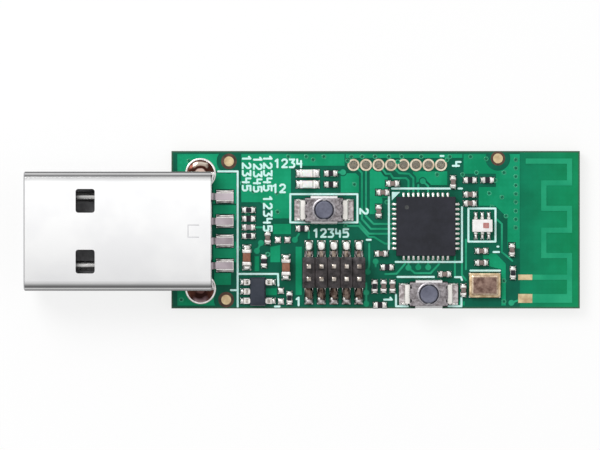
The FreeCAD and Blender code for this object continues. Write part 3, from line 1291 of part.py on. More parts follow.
digits = {
    "1": [[(0.1, 0.8), (0.35, 1), (0.35, 0)]],
    "2": [[(0, 0.85), (0.15, 1), (0.45, 1), (0.6, 0.85), (0.6, 0.6), (0, 0), (0.6, 0)]],
    "3": [[(0, 1), (0.6, 1), (0.3, 0.6), (0.6, 0.4), (0.6, 0.15), (0.45, 0), (0, 0)]],
    "4": [[(0, 1), (0, 0.45), (0.55, 0.45)], [(0.5, 0.8), (0.5, 0)]],
    "5": [[(0.6, 1), (0, 1), (0, 0.55), (0.45, 0.6), (0.6, 0.4), (0.6, 0.15), (0.45, 0), (0, 0)]],
}
# Each number starts at a point; a turned one reads down the board.
numbers = [
    ("12345", at_pads + 0.95, upper_edge - 0.2, True),
    ("12345", at_pads + 2.08, upper_edge - 0.3, True),
    ("12345", at_pads + 3.1, upper_edge - 0.2, True),
    ("12345", at_pads + 3.1, upper_edge - 4.3, True),
    ("1234", at_header - 6.0, amount("top_y") - 1.64, False),
    ("12", at_header - 6.2, amount("led_rise") - 0.8, False),
    ("2", switch_2_x + 3.68, switch_2_y + 0.1, True),
    ("1", switch_1_x - 4.5, switch_1_y - 0.3, True),
    ("12345", at_header - 2.05, header_y + 3.6, False),
    ("4", at_chip + 2.75, hole_y + 0.3, True),
    ("1", at_header - 3.85, header_y - 3.35, False),
]
size, step = amount("silk_digit"), amount("silk_digit_step")
for text, x, y, turned in numbers:
    for number, digit in enumerate(text):
        run = number * step
        if turned:
            outlines.append([[(x + b * size, y - run - a * size) for a, b in line] for line in digits[digit]])
        else:
            outlines.append([[(x + run + a * size, y + b * size) for a, b in line] for line in digits[digit]])
line_width, line_height = amount("silk_line"), amount("silk_top - board_top")
copper_work = pads + rings + tracks + pour + [land.Shape for land in lands] + [dot.Shape for dot in dots]
seats = [solid for item in pieces.values() for solid in item.Shape.Solids
         if close(solid.BoundBox.ZMin, amount("copper_top"))]
printed = []
for lines in outlines:
    strokes = [stroke(points, line_width, line_height) for points in lines]
    mark = strokes[0].fuse(strokes[1:]).removeSplitter() if len(strokes) > 1 else strokes[0]
    printed += whole(trimmed(mark, copper_work + seats), line_width * line_width)
corner = area([(chip_left + 0.3, chip_above - 0.35), (chip_left + 1.15, chip_above - 0.35),
               (chip_left + 0.3, chip_above - 1.2)], line_height)
printed += whole(trimmed(corner, copper_work + seats), line_width * line_width)
feature("silkscreen", printed)

doc.recompute()
for item in doc.Objects:
    if {"Invalid", "Error"} & set(item.State):
        raise RuntimeError(f"{item.Name} did not build")
os.makedirs("parts", exist_ok=True)
for name, item in pieces.items():
    if item.Shape.isNull() or not item.Shape.isValid():
        raise RuntimeError(f"{name} has no valid shape")
    item.Shape.exportStep(f"parts/{name}.step")
print(len(pieces), "sub-parts")
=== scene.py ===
import math

import bmesh
import bpy
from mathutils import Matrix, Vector


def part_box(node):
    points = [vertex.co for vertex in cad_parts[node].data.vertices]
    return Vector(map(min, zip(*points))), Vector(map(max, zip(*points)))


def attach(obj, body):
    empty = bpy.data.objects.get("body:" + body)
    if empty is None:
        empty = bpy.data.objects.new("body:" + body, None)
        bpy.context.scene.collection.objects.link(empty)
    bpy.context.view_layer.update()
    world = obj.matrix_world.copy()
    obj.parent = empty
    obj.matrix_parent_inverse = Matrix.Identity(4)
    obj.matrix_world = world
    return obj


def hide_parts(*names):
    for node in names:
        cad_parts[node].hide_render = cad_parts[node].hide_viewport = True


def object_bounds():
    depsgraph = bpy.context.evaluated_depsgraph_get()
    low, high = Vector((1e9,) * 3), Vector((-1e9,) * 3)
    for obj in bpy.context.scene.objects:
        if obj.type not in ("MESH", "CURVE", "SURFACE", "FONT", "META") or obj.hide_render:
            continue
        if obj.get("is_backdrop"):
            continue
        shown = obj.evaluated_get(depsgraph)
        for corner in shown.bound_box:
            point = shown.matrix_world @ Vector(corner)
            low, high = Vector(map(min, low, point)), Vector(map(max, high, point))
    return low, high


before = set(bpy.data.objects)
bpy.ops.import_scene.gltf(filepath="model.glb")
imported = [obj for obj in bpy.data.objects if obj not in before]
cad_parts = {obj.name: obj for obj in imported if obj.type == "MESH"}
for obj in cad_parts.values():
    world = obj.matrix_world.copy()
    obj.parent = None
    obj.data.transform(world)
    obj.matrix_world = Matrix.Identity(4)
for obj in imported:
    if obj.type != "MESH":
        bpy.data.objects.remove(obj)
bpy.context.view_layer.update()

# Circuit board: 1 mm of woven glass and resin, routed to a 41.5 by 16 mm outline and coated on
# both faces with cured green solder mask, which stops just short of the cut edge. The dark grey-green
# band along that edge is partly the bare edge and partly painted shade.
MM = 0.001
mask_gloss = 0.12


def linear(red, green, blue):
    """A colour given from 0 to 255, as the share of light that it gives back."""
    shares = (red / 255, green / 255, blue / 255)
    return tuple(c / 12.92 if c <= 0.04045 else ((c + 0.055) / 1.055) ** 2.4 for c in shares) + (1,)


def add(tree, kind, inputs=None, **settings):
    """Place one shader node, with its settings and with values or links for its inputs."""
    made = tree.nodes.new(kind)
    for name, value in settings.items():
        setattr(made, name, value)
    for key, value in (inputs or {}).items():
        if isinstance(value, bpy.types.NodeSocket):
            tree.links.new(value, made.inputs[key])
        else:
            made.inputs[key].default_value = value
    return made


def work(tree, operation, *values):
    """The result of one sum over sockets and numbers."""
    return add(tree, "ShaderNodeMath", dict(enumerate(values)), operation=operation).outputs[0]


def distance(tree, value, other):
    """How far one value lies from another."""
    return work(tree, "ABSOLUTE", work(tree, "SUBTRACT", value, other))


def ramp(tree, value, start, end, low=0, high=1):
    """A value that goes from low to high as another one goes from start to end."""
    return add(tree, "ShaderNodeMapRange", dict(enumerate((value, start, end, low, high)))).outputs[0]


def blend(tree, share, low, high):
    """One colour turning into another as the share goes from 0 to 1."""
    return add(tree, "ShaderNodeMix", {0: share, 6: low, 7: high}, data_type="RGBA").outputs[2]


def tones(tree, share, low, high):
    """The same for two colours that are given from 0 to 255."""
    return blend(tree, share, linear(*low), linear(*high))


def axes(tree, kind="Object"):
    """The three numbers of a place, or of the way that a surface faces."""
    return add(tree, "ShaderNodeSeparateXYZ", {0: add(tree, "ShaderNodeTexCoord").outputs[kind]}).outputs


def noise(tree, spot, scale, detail, **more):
    """Cloudy noise over a place."""
    return add(tree, "ShaderNodeTexNoise", dict(Vector=spot, Scale=scale, Detail=detail, **more)).outputs[0]


def pattern(name, **numbers):
    """Start a shader group that puts out a mask and a height: the group, the place and its inputs."""
    group = bpy.data.node_groups.new(name, "ShaderNodeTree")
    for label, value in numbers.items():
        group.interface.new_socket(label, in_out="INPUT", socket_type="NodeSocketFloat").default_value = value
    for label in ("Mask", "Height"):
        group.interface.new_socket(label, in_out="OUTPUT", socket_type="NodeSocketFloat")
    return group, add(group, "ShaderNodeTexCoord").outputs["Object"], add(group, "NodeGroupInput").outputs


def blank(name):
    """An empty material: the material, its node tree and its shader."""
    material = bpy.data.materials.new(name)
    material.use_nodes = True
    return material, material.node_tree, material.node_tree.nodes["Principled BSDF"]


def surface(tree, shader, colour, rough, height, strength, depth):
    """Link a shader's colour and roughness, and a relief whose depth is in millimetres."""
    bump = add(tree, "ShaderNodeBump", dict(Height=height, Strength=strength, Distance=depth * MM))
    tree.links.new(colour, shader.inputs["Base Color"])
    tree.links.new(rough, shader.inputs["Roughness"])
    tree.links.new(bump.outputs[0], shader.inputs["Normal"])


def coat(material, node):
    """Give a CAD node its finish."""
    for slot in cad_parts[node].material_slots:
        slot.material = material


masked, spot, given = pattern("mask_skin", Cloud=350, Peel=3200, Weave=620)
cloud, peel = noise(masked, spot, given["Cloud"], 3), noise(masked, spot, given["Peel"], 2)
yarns = [add(masked, "ShaderNodeTexWave", dict(Vector=spot, Scale=given["Weave"], Distortion=1),
    bands_direction=way).outputs[1] for way in "XY"]
weave = work(masked, "MULTIPLY", *yarns)
add(masked, "NodeGroupOutput", dict(
    Mask=ramp(masked, work(masked, "MULTIPLY_ADD", weave, 0.05, cloud), 0.36, 0.72),
    Height=work(masked, "MULTIPLY_ADD", weave, 0.2, work(masked, "MULTIPLY", peel, 0.8))))

board_low, board_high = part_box("circuit_board")
board_middle, board_half = (board_low + board_high) / 2, (board_high - board_low) / 2
antenna_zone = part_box("antenna_feed_pads")[0].x + 0.16 * MM
board_finish, tree, shader = blank("green_mask_on_laminate")
skin = add(tree, "ShaderNodeGroup", node_tree=masked).outputs
place, upright = axes(tree), axes(tree, "Normal")[2]
inward = [work(tree, "SUBTRACT", board_half[axis], distance(tree, place[axis], board_middle[axis]))
    for axis in (0, 1)]
# rim: a grey-green band along the cut edges, partly the bare laminate where the mask stops and partly painted
# shade.
rim = ramp(tree, work(tree, "MINIMUM", *inward), 0.06 * MM, 0.22 * MM, 1, 0)
# In the antenna zone, with no copper on either face, the mask is painted lighter green, as light let through the
# board from the table below; it turns a little darker towards the far end.
in_zone = ramp(tree, place[0], antenna_zone - 0.02 * MM, antenna_zone + 0.06 * MM)
inner_copper = ramp(tree, place[0], antenna_zone - 0.6 * MM, antenna_zone - 0.5 * MM, 1, 0)
across = ramp(tree, place[0], antenna_zone, board_high.x)
greens = (((2, 88, 66), (8, 106, 82)), ((4, 116, 82), (8, 134, 96)), ((5, 130, 80), (12, 148, 96)),
    ((10, 118, 76), (20, 132, 88)), ((18, 134, 92), (30, 152, 106)))
bare, zone_near, zone_far, under_bare, under_copper = (tones(tree, skin["Mask"], *pair) for pair in greens)
upper = blend(tree, in_zone, bare, blend(tree, across, zone_near, zone_far))
under = blend(tree, inner_copper, under_bare, under_copper)
spot = add(tree, "ShaderNodeTexCoord").outputs["Object"]
ply = add(tree, "ShaderNodeTexWave", dict(Vector=spot, Scale=1500, Distortion=3, Detail=2),
    bands_direction="Z").outputs[1]
flat = ramp(tree, work(tree, "ABSOLUTE", upright), 0.4, 0.6)
colour = blend(tree, rim, blend(tree, ramp(tree, upright, -0.1, 0.1), under, upper), linear(62, 92, 72))
colour = blend(tree, flat, tones(tree, ply, (118, 128, 78), (160, 164, 108)), colour)
surface(tree, shader, colour, ramp(tree, flat, 0, 1, 0.8, 0.36), skin["Height"], 0.25, 0.02)
shader.inputs["Specular IOR Level"].default_value = mask_gloss
coat(board_finish, "circuit_board")


# Ground pour and tracks: copper etched to shape on the board's face and covered by the same
# mask, so the copper shows through it as a lighter green.
def finish(name, skin, low, high, rough, relief, gloss=None, **settings):
    """A material whose colour, gloss and relief follow a pattern: a metal, unless a gloss is given."""
    material, tree, shader = blank(name)
    made = add(tree, "ShaderNodeGroup", settings, node_tree=skin).outputs
    surface(tree, shader, tones(tree, made["Mask"], low, high), ramp(tree, made["Height"], 0.2, 0.8, *rough),
        made["Height"], *relief)
    label, value = ("Metallic", 1) if gloss is None else ("Specular IOR Level", gloss)
    shader.inputs[label].default_value = value
    return material


coat(finish("green_mask_on_copper", masked, (2, 138, 94), (24, 168, 121), (0.3, 0.44), (0.25, 0.02),
    mask_gloss, Cloud=260, Peel=2600), "ground_pour")
coat(finish("green_mask_on_tracks", masked, (18, 142, 102), (48, 172, 130), (0.3, 0.44), (0.25, 0.02),
    mask_gloss, Cloud=500, Peel=4200), "signal_traces")


# Tented holes: small plated holes between the two faces, closed by the mask, which sinks into
# each one in a low ring; the dark colour of the dimple is painted shade.
def arc(radius, steps, x=0, y=0, start=0, sweep=360):
    """Points round a circle, or along a part of it with both its ends."""
    angles = [math.radians(start + sweep * step / steps) for step in range(steps + (abs(sweep) < 360))]
    return [(x + radius * math.cos(angle), y + radius * math.sin(angle)) for angle in angles]


def turned(shape, x, y, profile, steps, material=0):
    """Turn a profile of radius and height about an upright line."""
    rings = []
    for radius, height in profile:
        if radius == 0:
            rings.append([shape.verts.new((x, y, height))] * steps)
        else:
            rings.append([shape.verts.new((*point, height)) for point in arc(radius, steps, x, y)])
    for low, high in zip(rings, rings[1:]):
        for step in range(steps):
            following = step - steps + 1
            corners = list(dict.fromkeys((low[step], low[following], high[following], high[step])))
            if len(corners) > 2:
                shape.faces.new(corners).material_index = material


def piece(name, shape, *materials, slot, hides=(), body="stick", weld=False):
    """Turn a drawing in millimetres into a named piece that rides on a body."""
    if weld:
        bmesh.ops.remove_doubles(shape, verts=shape.verts, dist=1e-6)
    bmesh.ops.recalc_face_normals(shape, faces=shape.faces)
    bmesh.ops.scale(shape, vec=(MM, MM, MM), verts=shape.verts)
    mesh = bpy.data.meshes.new(name)
    shape.to_mesh(mesh)
    shape.free()
    for material in materials:
        mesh.materials.append(material)
    mesh.polygons.foreach_set("use_smooth", [True] * len(mesh.polygons))
    mesh.set_sharp_from_angle(angle=math.radians(40))
    made = bpy.data.objects.new(name, mesh)
    bpy.context.scene.collection.objects.link(made)
    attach(made, body)
    if hides:
        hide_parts(*hides)


near_edge, zone_edge = 7.42, 21.6
tented_places = [(-6.2, 4.7), (-2.6, 1.8), (-2.7, 3.7), (-5.1, 3.9), (-5.7, 1.5), (-3.6, -2.5), (-1.9, 6.9),
    (-0.4, 6.8), (1, 7.1), (4.5, 7), (5.2, 4.6), (8.5, 2.8), (14.6, 7.1), (16.2, 5.6), (13.6, 5.6), (17.6, 5.8),
    (19.5, 5), (20.4, 5.8), (18.9, 3.7), (20.2, 3.3), (19.2, 2.3), (20.6, 1.4), (17.9, -0.2), (2.9, 5.6),
    (4.3, 2), (4.3, 0.4), (-6.6, -1.9), (18.6, 7.2), (9.6, 6.9), (20.4, -7.3), (20.4, -5.2), (4.9, 7.4),
    (-10.2, -7.2), (-11.6, 7), (-12.4, -7.1)]
tented_places += [(zone_edge, y) for y in (7.1, 6.25, 5.4, 4.5, 3.65, 2.8, 1.9, 1.05, 0.2)]
tented_places += [(x, near_edge) for x in (-1.5, 0.3, 2.1, 6, 7.3, 8.7, 10, 12, 14.9, 17)]
hole_rim = finish("raised_mask_rim", masked, (8, 138, 96), (30, 164, 120), (0.14, 0.24), (0.1, 0.01), 0.5,
    Cloud=900)
# The dark green of each dimple is painted shade: the dimple is less than two hundredths of a millimetre deep.
hole_shadow = finish("sunken_mask", masked, (8, 92, 66), (18, 116, 84), (0.4, 0.5), (0.2, 0.01), 0.15, Cloud=2000)
copper_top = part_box("ground_pour")[1].z / MM
rim_profile = ((0, -0.02), (0.25, -0.02), (0.25, 0.001), (0.21, 0.014), (0.18, 0.018), (0.15, 0.014),
    (0.14, 0.008))
sunken_profile = ((0.14, 0.008), (0.08, 0.004), (0, 0.002))
holes = bmesh.new()
for x, y in tented_places:
    for material, profile in enumerate((rim_profile, sunken_profile)):
        turned(holes, x, y, [(radius, copper_top + height) for radius, height in profile], 20, material)
piece("tented_holes", holes, hole_rim, hole_shadow, slot="masked_copper", weld=True)


# Printed antenna: one folded copper track under the mask, with the laminate bare of copper on
# both sides of it. Its feed and its ground end in two bare pads, plated with gold.
def weighed(tree, share, first, second):
    """Two heights put together, the first with a share of the whole."""
    return work(tree, "ADD", work(tree, "MULTIPLY", first, share), work(tree, "MULTIPLY", second, 1 - share))


plated, spot, given = pattern("plated_skin", Stain=900, Grit=7000)
stain = noise(plated, spot, given["Stain"], 4, Roughness=0.6)
add(plated, "NodeGroupOutput", dict(Mask=ramp(plated, stain, 0.36, 0.64),
    Height=weighed(plated, 0.5, stain, noise(plated, spot, given["Grit"], 2))))
gold = finish("gold_flash", plated, (186, 160, 124), (226, 206, 164), (0.28, 0.5), (0.25, 0.01), Stain=1100)
coat(finish("green_mask_on_antenna", masked, (24, 152, 108), (42, 172, 124), (0.3, 0.44), (0.25, 0.02),
    mask_gloss, Cloud=300, Peel=3000), "antenna_trace")
coat(gold, "antenna_feed_pads")

# Row of plated holes: the barrels are copper with a gold flash, and each opens in a flat ring
# on the board's face. Wires or a second pin row can be soldered in.
coat(finish("gold_flash_on_rings", plated, (204, 184, 158), (240, 228, 206), (0.28, 0.5), (0.25, 0.01),
    Stain=1500), "io_hole_rings")


# Line-up dots: three round gold-plated marks, each in a round opening of the mask, through
# which the bare brown laminate shows.
def solids_of(name):
    """The lowest and highest corner, in millimetres, of each separate solid of a CAD node."""
    mesh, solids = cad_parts[name].data, []
    spots = [tuple(round(c * 1e7) for c in corner.co) for corner in mesh.vertices]
    for face in mesh.polygons:
        corners = {spots[vertex] for vertex in face.vertices}
        touching = [found for found in solids if not corners.isdisjoint(found)]
        solids = [found for found in solids if found not in touching] + [corners.union(*touching)]
    places = {spot: corner.co / MM for spot, corner in zip(spots, mesh.vertices)}
    boxes = [[Vector(map(end, zip(*(places[spot] for spot in found)))) for end in (min, max)] for found in solids]
    return sorted(boxes, key=lambda box: [round(c, 3) for c in box[0]])


def middle_of(low, high):
    """The middle of a box, seen from above."""
    return (low.x + high.x) / 2, (low.y + high.y) / 2


board_top = board_high.z / MM
floor, lip, dot_reach = board_top - 0.01, board_top + 0.012, 0.42
openings = bmesh.new()
for low, high in solids_of("fiducial_dots"):
    x, y = middle_of(low, high)
    reach = min(0.8, board_high.y / MM - 0.02 - abs(y))
    turned(openings, x, y, ((dot_reach, floor), (reach, floor), (reach, lip - 0.006), (reach - 0.05, lip),
        (dot_reach, lip), (dot_reach, floor)), 48)
bare_laminate = finish("bare_brown_laminate", masked, (66, 50, 42), (104, 74, 58), (0.4, 0.6), (0.3, 0.02),
    0.3, Cloud=1500, Peel=6000)
piece("laminate_openings", openings, bare_laminate, slot="board_laminate", weld=True)
coat(gold, "fiducial_dots")

# Silkscreen: epoxy ink printed through a mesh as thin lines. It stands a few hundredths of a
# millimetre above the mask and thins out here and there.
coat(finish("silk_ink", plated, (196, 248, 240), (226, 254, 250), (0.5, 0.7), (0.4, 0.02), 0.2, Stain=2600,
    Grit=9000), "silkscreen")


# Plug shell: a strip of nickel-plated steel, 0.3 mm thick, folded into a tube whose seam runs
# along the underside. Its locking windows and its rear tab are punched before it is folded.
def bands(tree, value, stops):
    """Colours at given shares of a value, the first at 0 and the last at 1."""
    made = add(tree, "ShaderNodeValToRGB", {0: value})
    marks = made.color_ramp.elements
    marks[0].color, marks[-1].color = stops[0][1], stops[-1][1]
    for share, colour in stops[1:-1]:
        marks.new(share).color = colour
    return made.outputs[0]


def joined(shape, rows, closed=True, material=0):
    """Join rows of corners with faces. Closed rows run right round."""
    for below, above in zip(rows, rows[1:]):
        for number in range(0 if closed else 1, len(below)):
            corners = (below[number - 1], below[number], above[number], above[number - 1])
            shape.faces.new(corners).material_index = material


def solid(shape, rows, material=0):
    """Join closed rows of corners, and close both ends."""
    joined(shape, rows, True, material)
    for row in (rows[0], rows[-1]):
        shape.faces.new(row).material_index = material


drawn, spot, given = pattern("drawn_skin", Lines=60, Grit=2500)
along = add(drawn, "ShaderNodeMapping", dict(Vector=spot, Scale=(1, 60, 60))).outputs[0]
lines, grit = noise(drawn, along, given["Lines"], 3), noise(drawn, spot, given["Grit"], 2)
add(drawn, "NodeGroupOutput", dict(Mask=ramp(drawn, noise(drawn, spot, 220, 3), 0.35, 0.65),
    Height=weighed(drawn, 0.6, lines, grit)))
shell_low, shell_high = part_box("usb_shell")
shell_y = (shell_low.y + shell_high.y) / 2
shell_steel, tree, shader = blank("nickel_plated_shell")
skin, place = add(tree, "ShaderNodeGroup", node_tree=drawn).outputs, axes(tree)
wall = ramp(tree, work(tree, "ABSOLUTE", axes(tree, "Normal")[2]), 0.02, 0.06, 1, 0)
off_centre = work(tree, "SUBTRACT", place[1], shell_y)
from_side = work(tree, "SUBTRACT", (shell_high.y - shell_low.y) / 2, work(tree, "ABSOLUTE", off_centre))
# The greys across the shell's width, from a dark line and a light line at each folded side to a grey band that
# fades to white on the flat top, are painted reflection and shade of the rounded folds.
painted_bend_greys = ((0, 92), (0.13, 104), (0.18, 214), (0.3, 206), (0.37, 158), (0.5, 172), (0.62, 200), (0.78, 226),
    (0.98, 250), (1, 252))
bends = bands(tree, ramp(tree, from_side, 0, 1.05 * MM), [(share, linear(*[grey] * 3)) for share, grey in painted_bend_greys])
nickel_with_painted_bends = blend(tree, wall, bends, linear(226, 226, 228))
mouth = ramp(tree, work(tree, "SUBTRACT", place[0], shell_low.x), 0.05 * MM, 0.16 * MM, 1, 0)
nickel_with_painted_bends = blend(tree, mouth, nickel_with_painted_bends, linear(168, 168, 170))
wear = tones(tree, skin["Mask"], (246, 246, 247), (254, 254, 254))
colour = add(tree, "ShaderNodeMix", {0: 1, 6: nickel_with_painted_bends, 7: wear}, data_type="RGBA",
    blend_type="MULTIPLY").outputs[2]
swelling = 10.5
bulge = work(tree, "MULTIPLY", work(tree, "MULTIPLY", off_centre, off_centre), -swelling)
relief = work(tree, "MULTIPLY_ADD", skin["Height"], 0.0002 * MM, bulge)
surface(tree, shader, colour, ramp(tree, skin["Height"], 0.2, 0.8, 0.12, 0.2), relief, 1, 1 / MM)
shader.inputs["Metallic"].default_value = 1
coat(shell_steel, "usb_shell")
tab_rear, tab_front, tab_half, slit = shell_high.x / MM - 1.17, shell_high.x / MM - 2.22, 0.56, 0.1
tab_y, tab_top, tab_depth = shell_y / MM, shell_high.z / MM - 0.07, 0.2
# The U-shaped slit round the rear tab is filled, a little below the top of the shell, with pale steel: painted
# light where the open slit would show shade.
tab_edge = bmesh.new()
for x_low, x_high, y_low, y_high in ((tab_front - slit, tab_front, -tab_half - slit, tab_half + slit),
        (tab_front, tab_rear, tab_half, tab_half + slit), (tab_front, tab_rear, -tab_half - slit, -tab_half)):
    solid(tab_edge, [[tab_edge.verts.new((x, tab_y + y, z)) for x, y in ((x_low, y_low), (x_high, y_low),
        (x_high, y_high), (x_low, y_high))] for z in (tab_top - tab_depth, tab_top)])
slit_fill_steel = finish("tab_slit_painted_light", drawn, (196, 196, 198), (226, 226, 228), (0.3, 0.45), (0.1, 0.004))
piece("shell_tab_edge", tab_edge, slit_fill_steel, slot="nickel_steel")

# Plug insulator: a black moulded block that fills the rear of the shell and runs forward as a
# flat tongue, in which the four contacts lie flush.
grained, spot, given = pattern("moulded_skin", Pits=9000, Flow=500)
pits = add(grained, "ShaderNodeTexVoronoi", dict(Vector=spot, Scale=given["Pits"])).outputs[0]
flow = noise(grained, spot, given["Flow"], 5, Roughness=0.7)
add(grained, "NodeGroupOutput", dict(Mask=ramp(grained, flow, 0.35, 0.65),
    Height=weighed(grained, 0.6, pits, flow)))
coat(finish("black_plug_moulding", grained, (76, 76, 78), (120, 120, 122), (0.35, 0.5), (0.2, 0.01), 0.3,
    Pits=6000), "usb_insulator")


# Plug contacts: four strips of phosphor bronze, plated with nickel and gold. Each leaves the
# rear of the block, drops to the board and ends in a foot soldered to its pad.
def rounded(path, radius):
    """A line of straight runs, with an arc in place of each corner."""
    path, steps = [Vector(point) for point in path], 5
    points = [path[0]]
    for before, corner, after in zip(path, path[1:], path[2:]):
        back, ahead = before - corner, after - corner
        reach = min(radius, back.length * 0.49, ahead.length * 0.49)
        start, end = corner + back.normalized() * reach, corner + ahead.normalized() * reach
        for step in range(steps + 1):
            share = step / steps
            points.append(start * (1 - share) ** 2 + corner * 2 * share * (1 - share) + end * share ** 2)
    return points + [path[-1]]


def strip(shape, path, along, centre, width, sheet, radius, edge=0.02, tip=None, material=0, crown=0):
    """Bend a strip of sheet along a path that lies upright, along X or along Y."""
    points = rounded(path, radius)
    sizes = [1] * len(points)
    if tip:
        points.append(points[-1] + (points[-1] - points[-2]).normalized() * tip[0])
        sizes.append(tip[1])
    half, top, under = width / 2, sheet / 2 - crown, -sheet / 2
    section = [(half, top - edge), (half - edge, top)]
    if crown:
        section += [(half * (1 - step / 4), top + crown * (1 - (1 - step / 4) ** 2)) for step in range(1, 8)]
    section += [(edge - half, top), (-half, top - edge), (-half, edge + under), (edge - half, under),
        (half - edge, under), (half, edge + under)]
    rings = []
    for number, (point, size) in enumerate(zip(points, sizes)):
        ahead = (points[min(number + 1, len(points) - 1)] - points[max(number - 1, 0)]).normalized()
        across = Vector((-ahead.y, ahead.x))
        ring = []
        for reach, rise in section:
            spot, side = point + across * rise * size, centre + reach * size
            ring.append(shape.verts.new((spot.x, side, spot.y) if along == "x" else (side, spot.x, spot.y)))
        rings.append(ring)
    solid(shape, rings, material)


contact_plating = finish("plated_contact_strip", drawn, (150, 138, 144), (206, 194, 200), (0.25, 0.42),
    (0.5, 0.02), Grit=4000)
blade_plating = finish("polished_contact_blade", drawn, (160, 159, 158), (206, 205, 203), (0.2, 0.34),
    (0.3, 0.02), Grit=4000)
sheet, blade, tail = 0.25, 1, 0.7
riser = shell_high.x / MM + 0.1 + sheet / 2
contacts = bmesh.new()
contact_nodes = ("usb_power_contacts", "usb_data_contacts")
for node in contact_nodes:
    for low, high in solids_of(node):
        y, upper, lower = middle_of(low, high)[1], high.z - sheet / 2, low.z + sheet / 2
        strip(contacts, ((low.x + 0.02, upper), (riser - 0.3, upper)), "x", y, blade, sheet, 0.1, 0.01,
            material=1, crown=0.19)
        strip(contacts, ((riser - 0.5, upper), (riser, upper), (riser, lower), (high.x, lower)), "x", y, tail,
            sheet, 0.24)
piece("plug_contact_strips", contacts, contact_plating, blade_plating, hides=contact_nodes, slot="plug_contact")

# Leg solder: the shell's two legs go down through plated holes. Tin solder fills each hole and
# climbs round the leg inside a bright tinned ring. Its colour in the hollow is painted reflection:
# white and cream bands, and dark brown at the sides and deep in the hollow. The joint on the
# lower side (-Y) is painted darker as shade.
tinned, spot, given = pattern("solder_skin", Ripple=1600, Grain=6000)
ripple = noise(tinned, spot, given["Ripple"], 2, Distortion=0.6)
add(tinned, "NodeGroupOutput", dict(Mask=ramp(tinned, ripple, 0.38, 0.62),
    Height=weighed(tinned, 0.8, ripple, noise(tinned, spot, given["Grain"], 2))))
solder = finish("bright_tin_solder", tinned, (222, 218, 214), (254, 252, 249), (0.16, 0.32), (0.4, 0.02))
lands = solids_of("shell_leg_lands")
painted_bowl_solder, tree, shader = blank("leg_solder_painted_reflections")
skin, place = add(tree, "ShaderNodeGroup", {"Ripple": 900}, node_tree=tinned).outputs, axes(tree)
rise = ramp(tree, work(tree, "MULTIPLY_ADD", skin["Mask"], 0.16 * MM, place[2]), copper_top * MM,
    (copper_top + 0.8) * MM)
off_leg = distance(tree, place[0], middle_of(*lands[0])[0] * MM)
aside = ramp(tree, work(tree, "MULTIPLY_ADD", skin["Height"], 0.5 * MM, off_leg), 0.72 * MM, 1.05 * MM)
# The dark brown at the sides of the hollow is painted reflection.
brown = tones(tree, skin["Mask"], (50, 24, 20), (98, 60, 50))
lit_bowl_reflections = ((0, (74, 40, 32)), (0.06, (84, 48, 38)), (0.12, (250, 238, 222)), (0.3, (228, 208, 190)),
    (0.4, (84, 44, 34)), (0.68, (58, 28, 22)), (0.8, (212, 186, 174)), (1, (212, 186, 174)))
shaded_bowl_reflections = ((0, (120, 100, 100)), (0.08, (156, 130, 134)), (0.24, (128, 100, 104)), (0.36, (66, 40, 36)),
    (0.7, (44, 22, 20)), (0.86, (82, 56, 52)), (1, (82, 56, 52)))
lit_bowl, shaded_bowl = (blend(tree, aside, bands(tree, rise, [(share, linear(*shade)) for share, shade in shades]),
    brown) for shades in (lit_bowl_reflections, shaded_bowl_reflections))
# The joint on the lower side takes the darker bands: painted shade.
colour = blend(tree, ramp(tree, place[1], -MM, MM), shaded_bowl, lit_bowl)
surface(tree, shader, colour, ramp(tree, skin["Height"], 0.2, 0.8, 0.1, 0.22), skin["Height"], 0.4, 0.04)
shader.inputs["Metallic"].default_value = 1
bore, levels, steps, ring_width, crest, climb = 0.66, 9, 24, 0.15, 0.18, 0.9
ring_profile = ((bore, -0.03), (0, -0.03), (0, 0.01), (0.04, 0.04), (0.1, 0.05), (0.17, 0.02), (bore, -0.02))
leg_solder, leg_rings = bmesh.new(), bmesh.new()
for low, high in lands:
    x, y = middle_of(low, high)
    reach = (high.x - low.x) / 2
    turned(leg_rings, x, y, [(reach - inset, copper_top + height) for inset, height in ring_profile], 64)
    side, wall = (1, shell_high.y / MM) if y > 0 else (-1, shell_low.y / MM)
    rows = []
    for level in range(levels + 1):
        share = level / levels
        radius = (reach - ring_width) * (1 - share) + crest * share
        height = copper_top + 0.015 + climb * share ** 1.7
        rows.append([leg_solder.verts.new((x + u, wall + side * (max(0, v - abs(wall) + abs(y)) + 0.002), height))
            for u, v in arc(radius, steps, sweep=180)])
    foot = [leg_solder.verts.new((corner.co.x, corner.co.y, copper_top - 0.02)) for corner in rows[0]]
    joined(leg_solder, rows, False)
    joined(leg_solder, [rows[0], foot], False)
    back = [foot[0]] + [row[0] for row in rows] + [row[-1] for row in reversed(rows)] + [foot[-1]]
    for loop in (foot, rows[-1], back):
        leg_solder.faces.new(loop)
    turned(leg_solder, x, y, ((0, 0.12), (0.6, 0.14), (0.85, 0.22), (1, 0.32), (1.12, board_low.z / MM - 0.001),
        (0, board_low.z / MM)), 40)
piece("plug_leg_solder", leg_solder, painted_bowl_solder, hides=("shell_leg_solder",), slot="tin_solder", weld=True)
piece("plug_leg_rings", leg_rings, solder, hides=("shell_leg_lands",), slot="tin_solder", weld=True)

# Radio chip: a square no-lead package of black epoxy, sawn from a moulded sheet. A shallow
# round dimple marks the corner of its first terminal.
chip_epoxy = finish("black_chip_epoxy", grained, (33, 34, 41), (45, 46, 55), (0.42, 0.6), (0.35, 0.01),
    0.25, Pits=11000, Flow=420)
dimple_floor = finish("smooth_dimple_floor", grained, (56, 58, 60), (74, 76, 76), (0.3, 0.4), (0.1, 0.01),
    0.3, Pits=3000)
chip_low, chip_high = solids_of("radio_chip")[0]
inset, radius, floor = 1.05, 0.224, chip_high.z - 0.038
dimple = bmesh.new()
turned(dimple, chip_low.x + inset, chip_high.y - inset, ((0, floor - 0.01), (radius, floor - 0.01),
    (radius, floor + 0.012), (radius - 0.02, floor + 0.003), (0, floor)), 32)
coat(chip_epoxy, "radio_chip")
piece("chip_corner_dimple", dimple, dimple_floor, slot="chip_moulding", weld=True)

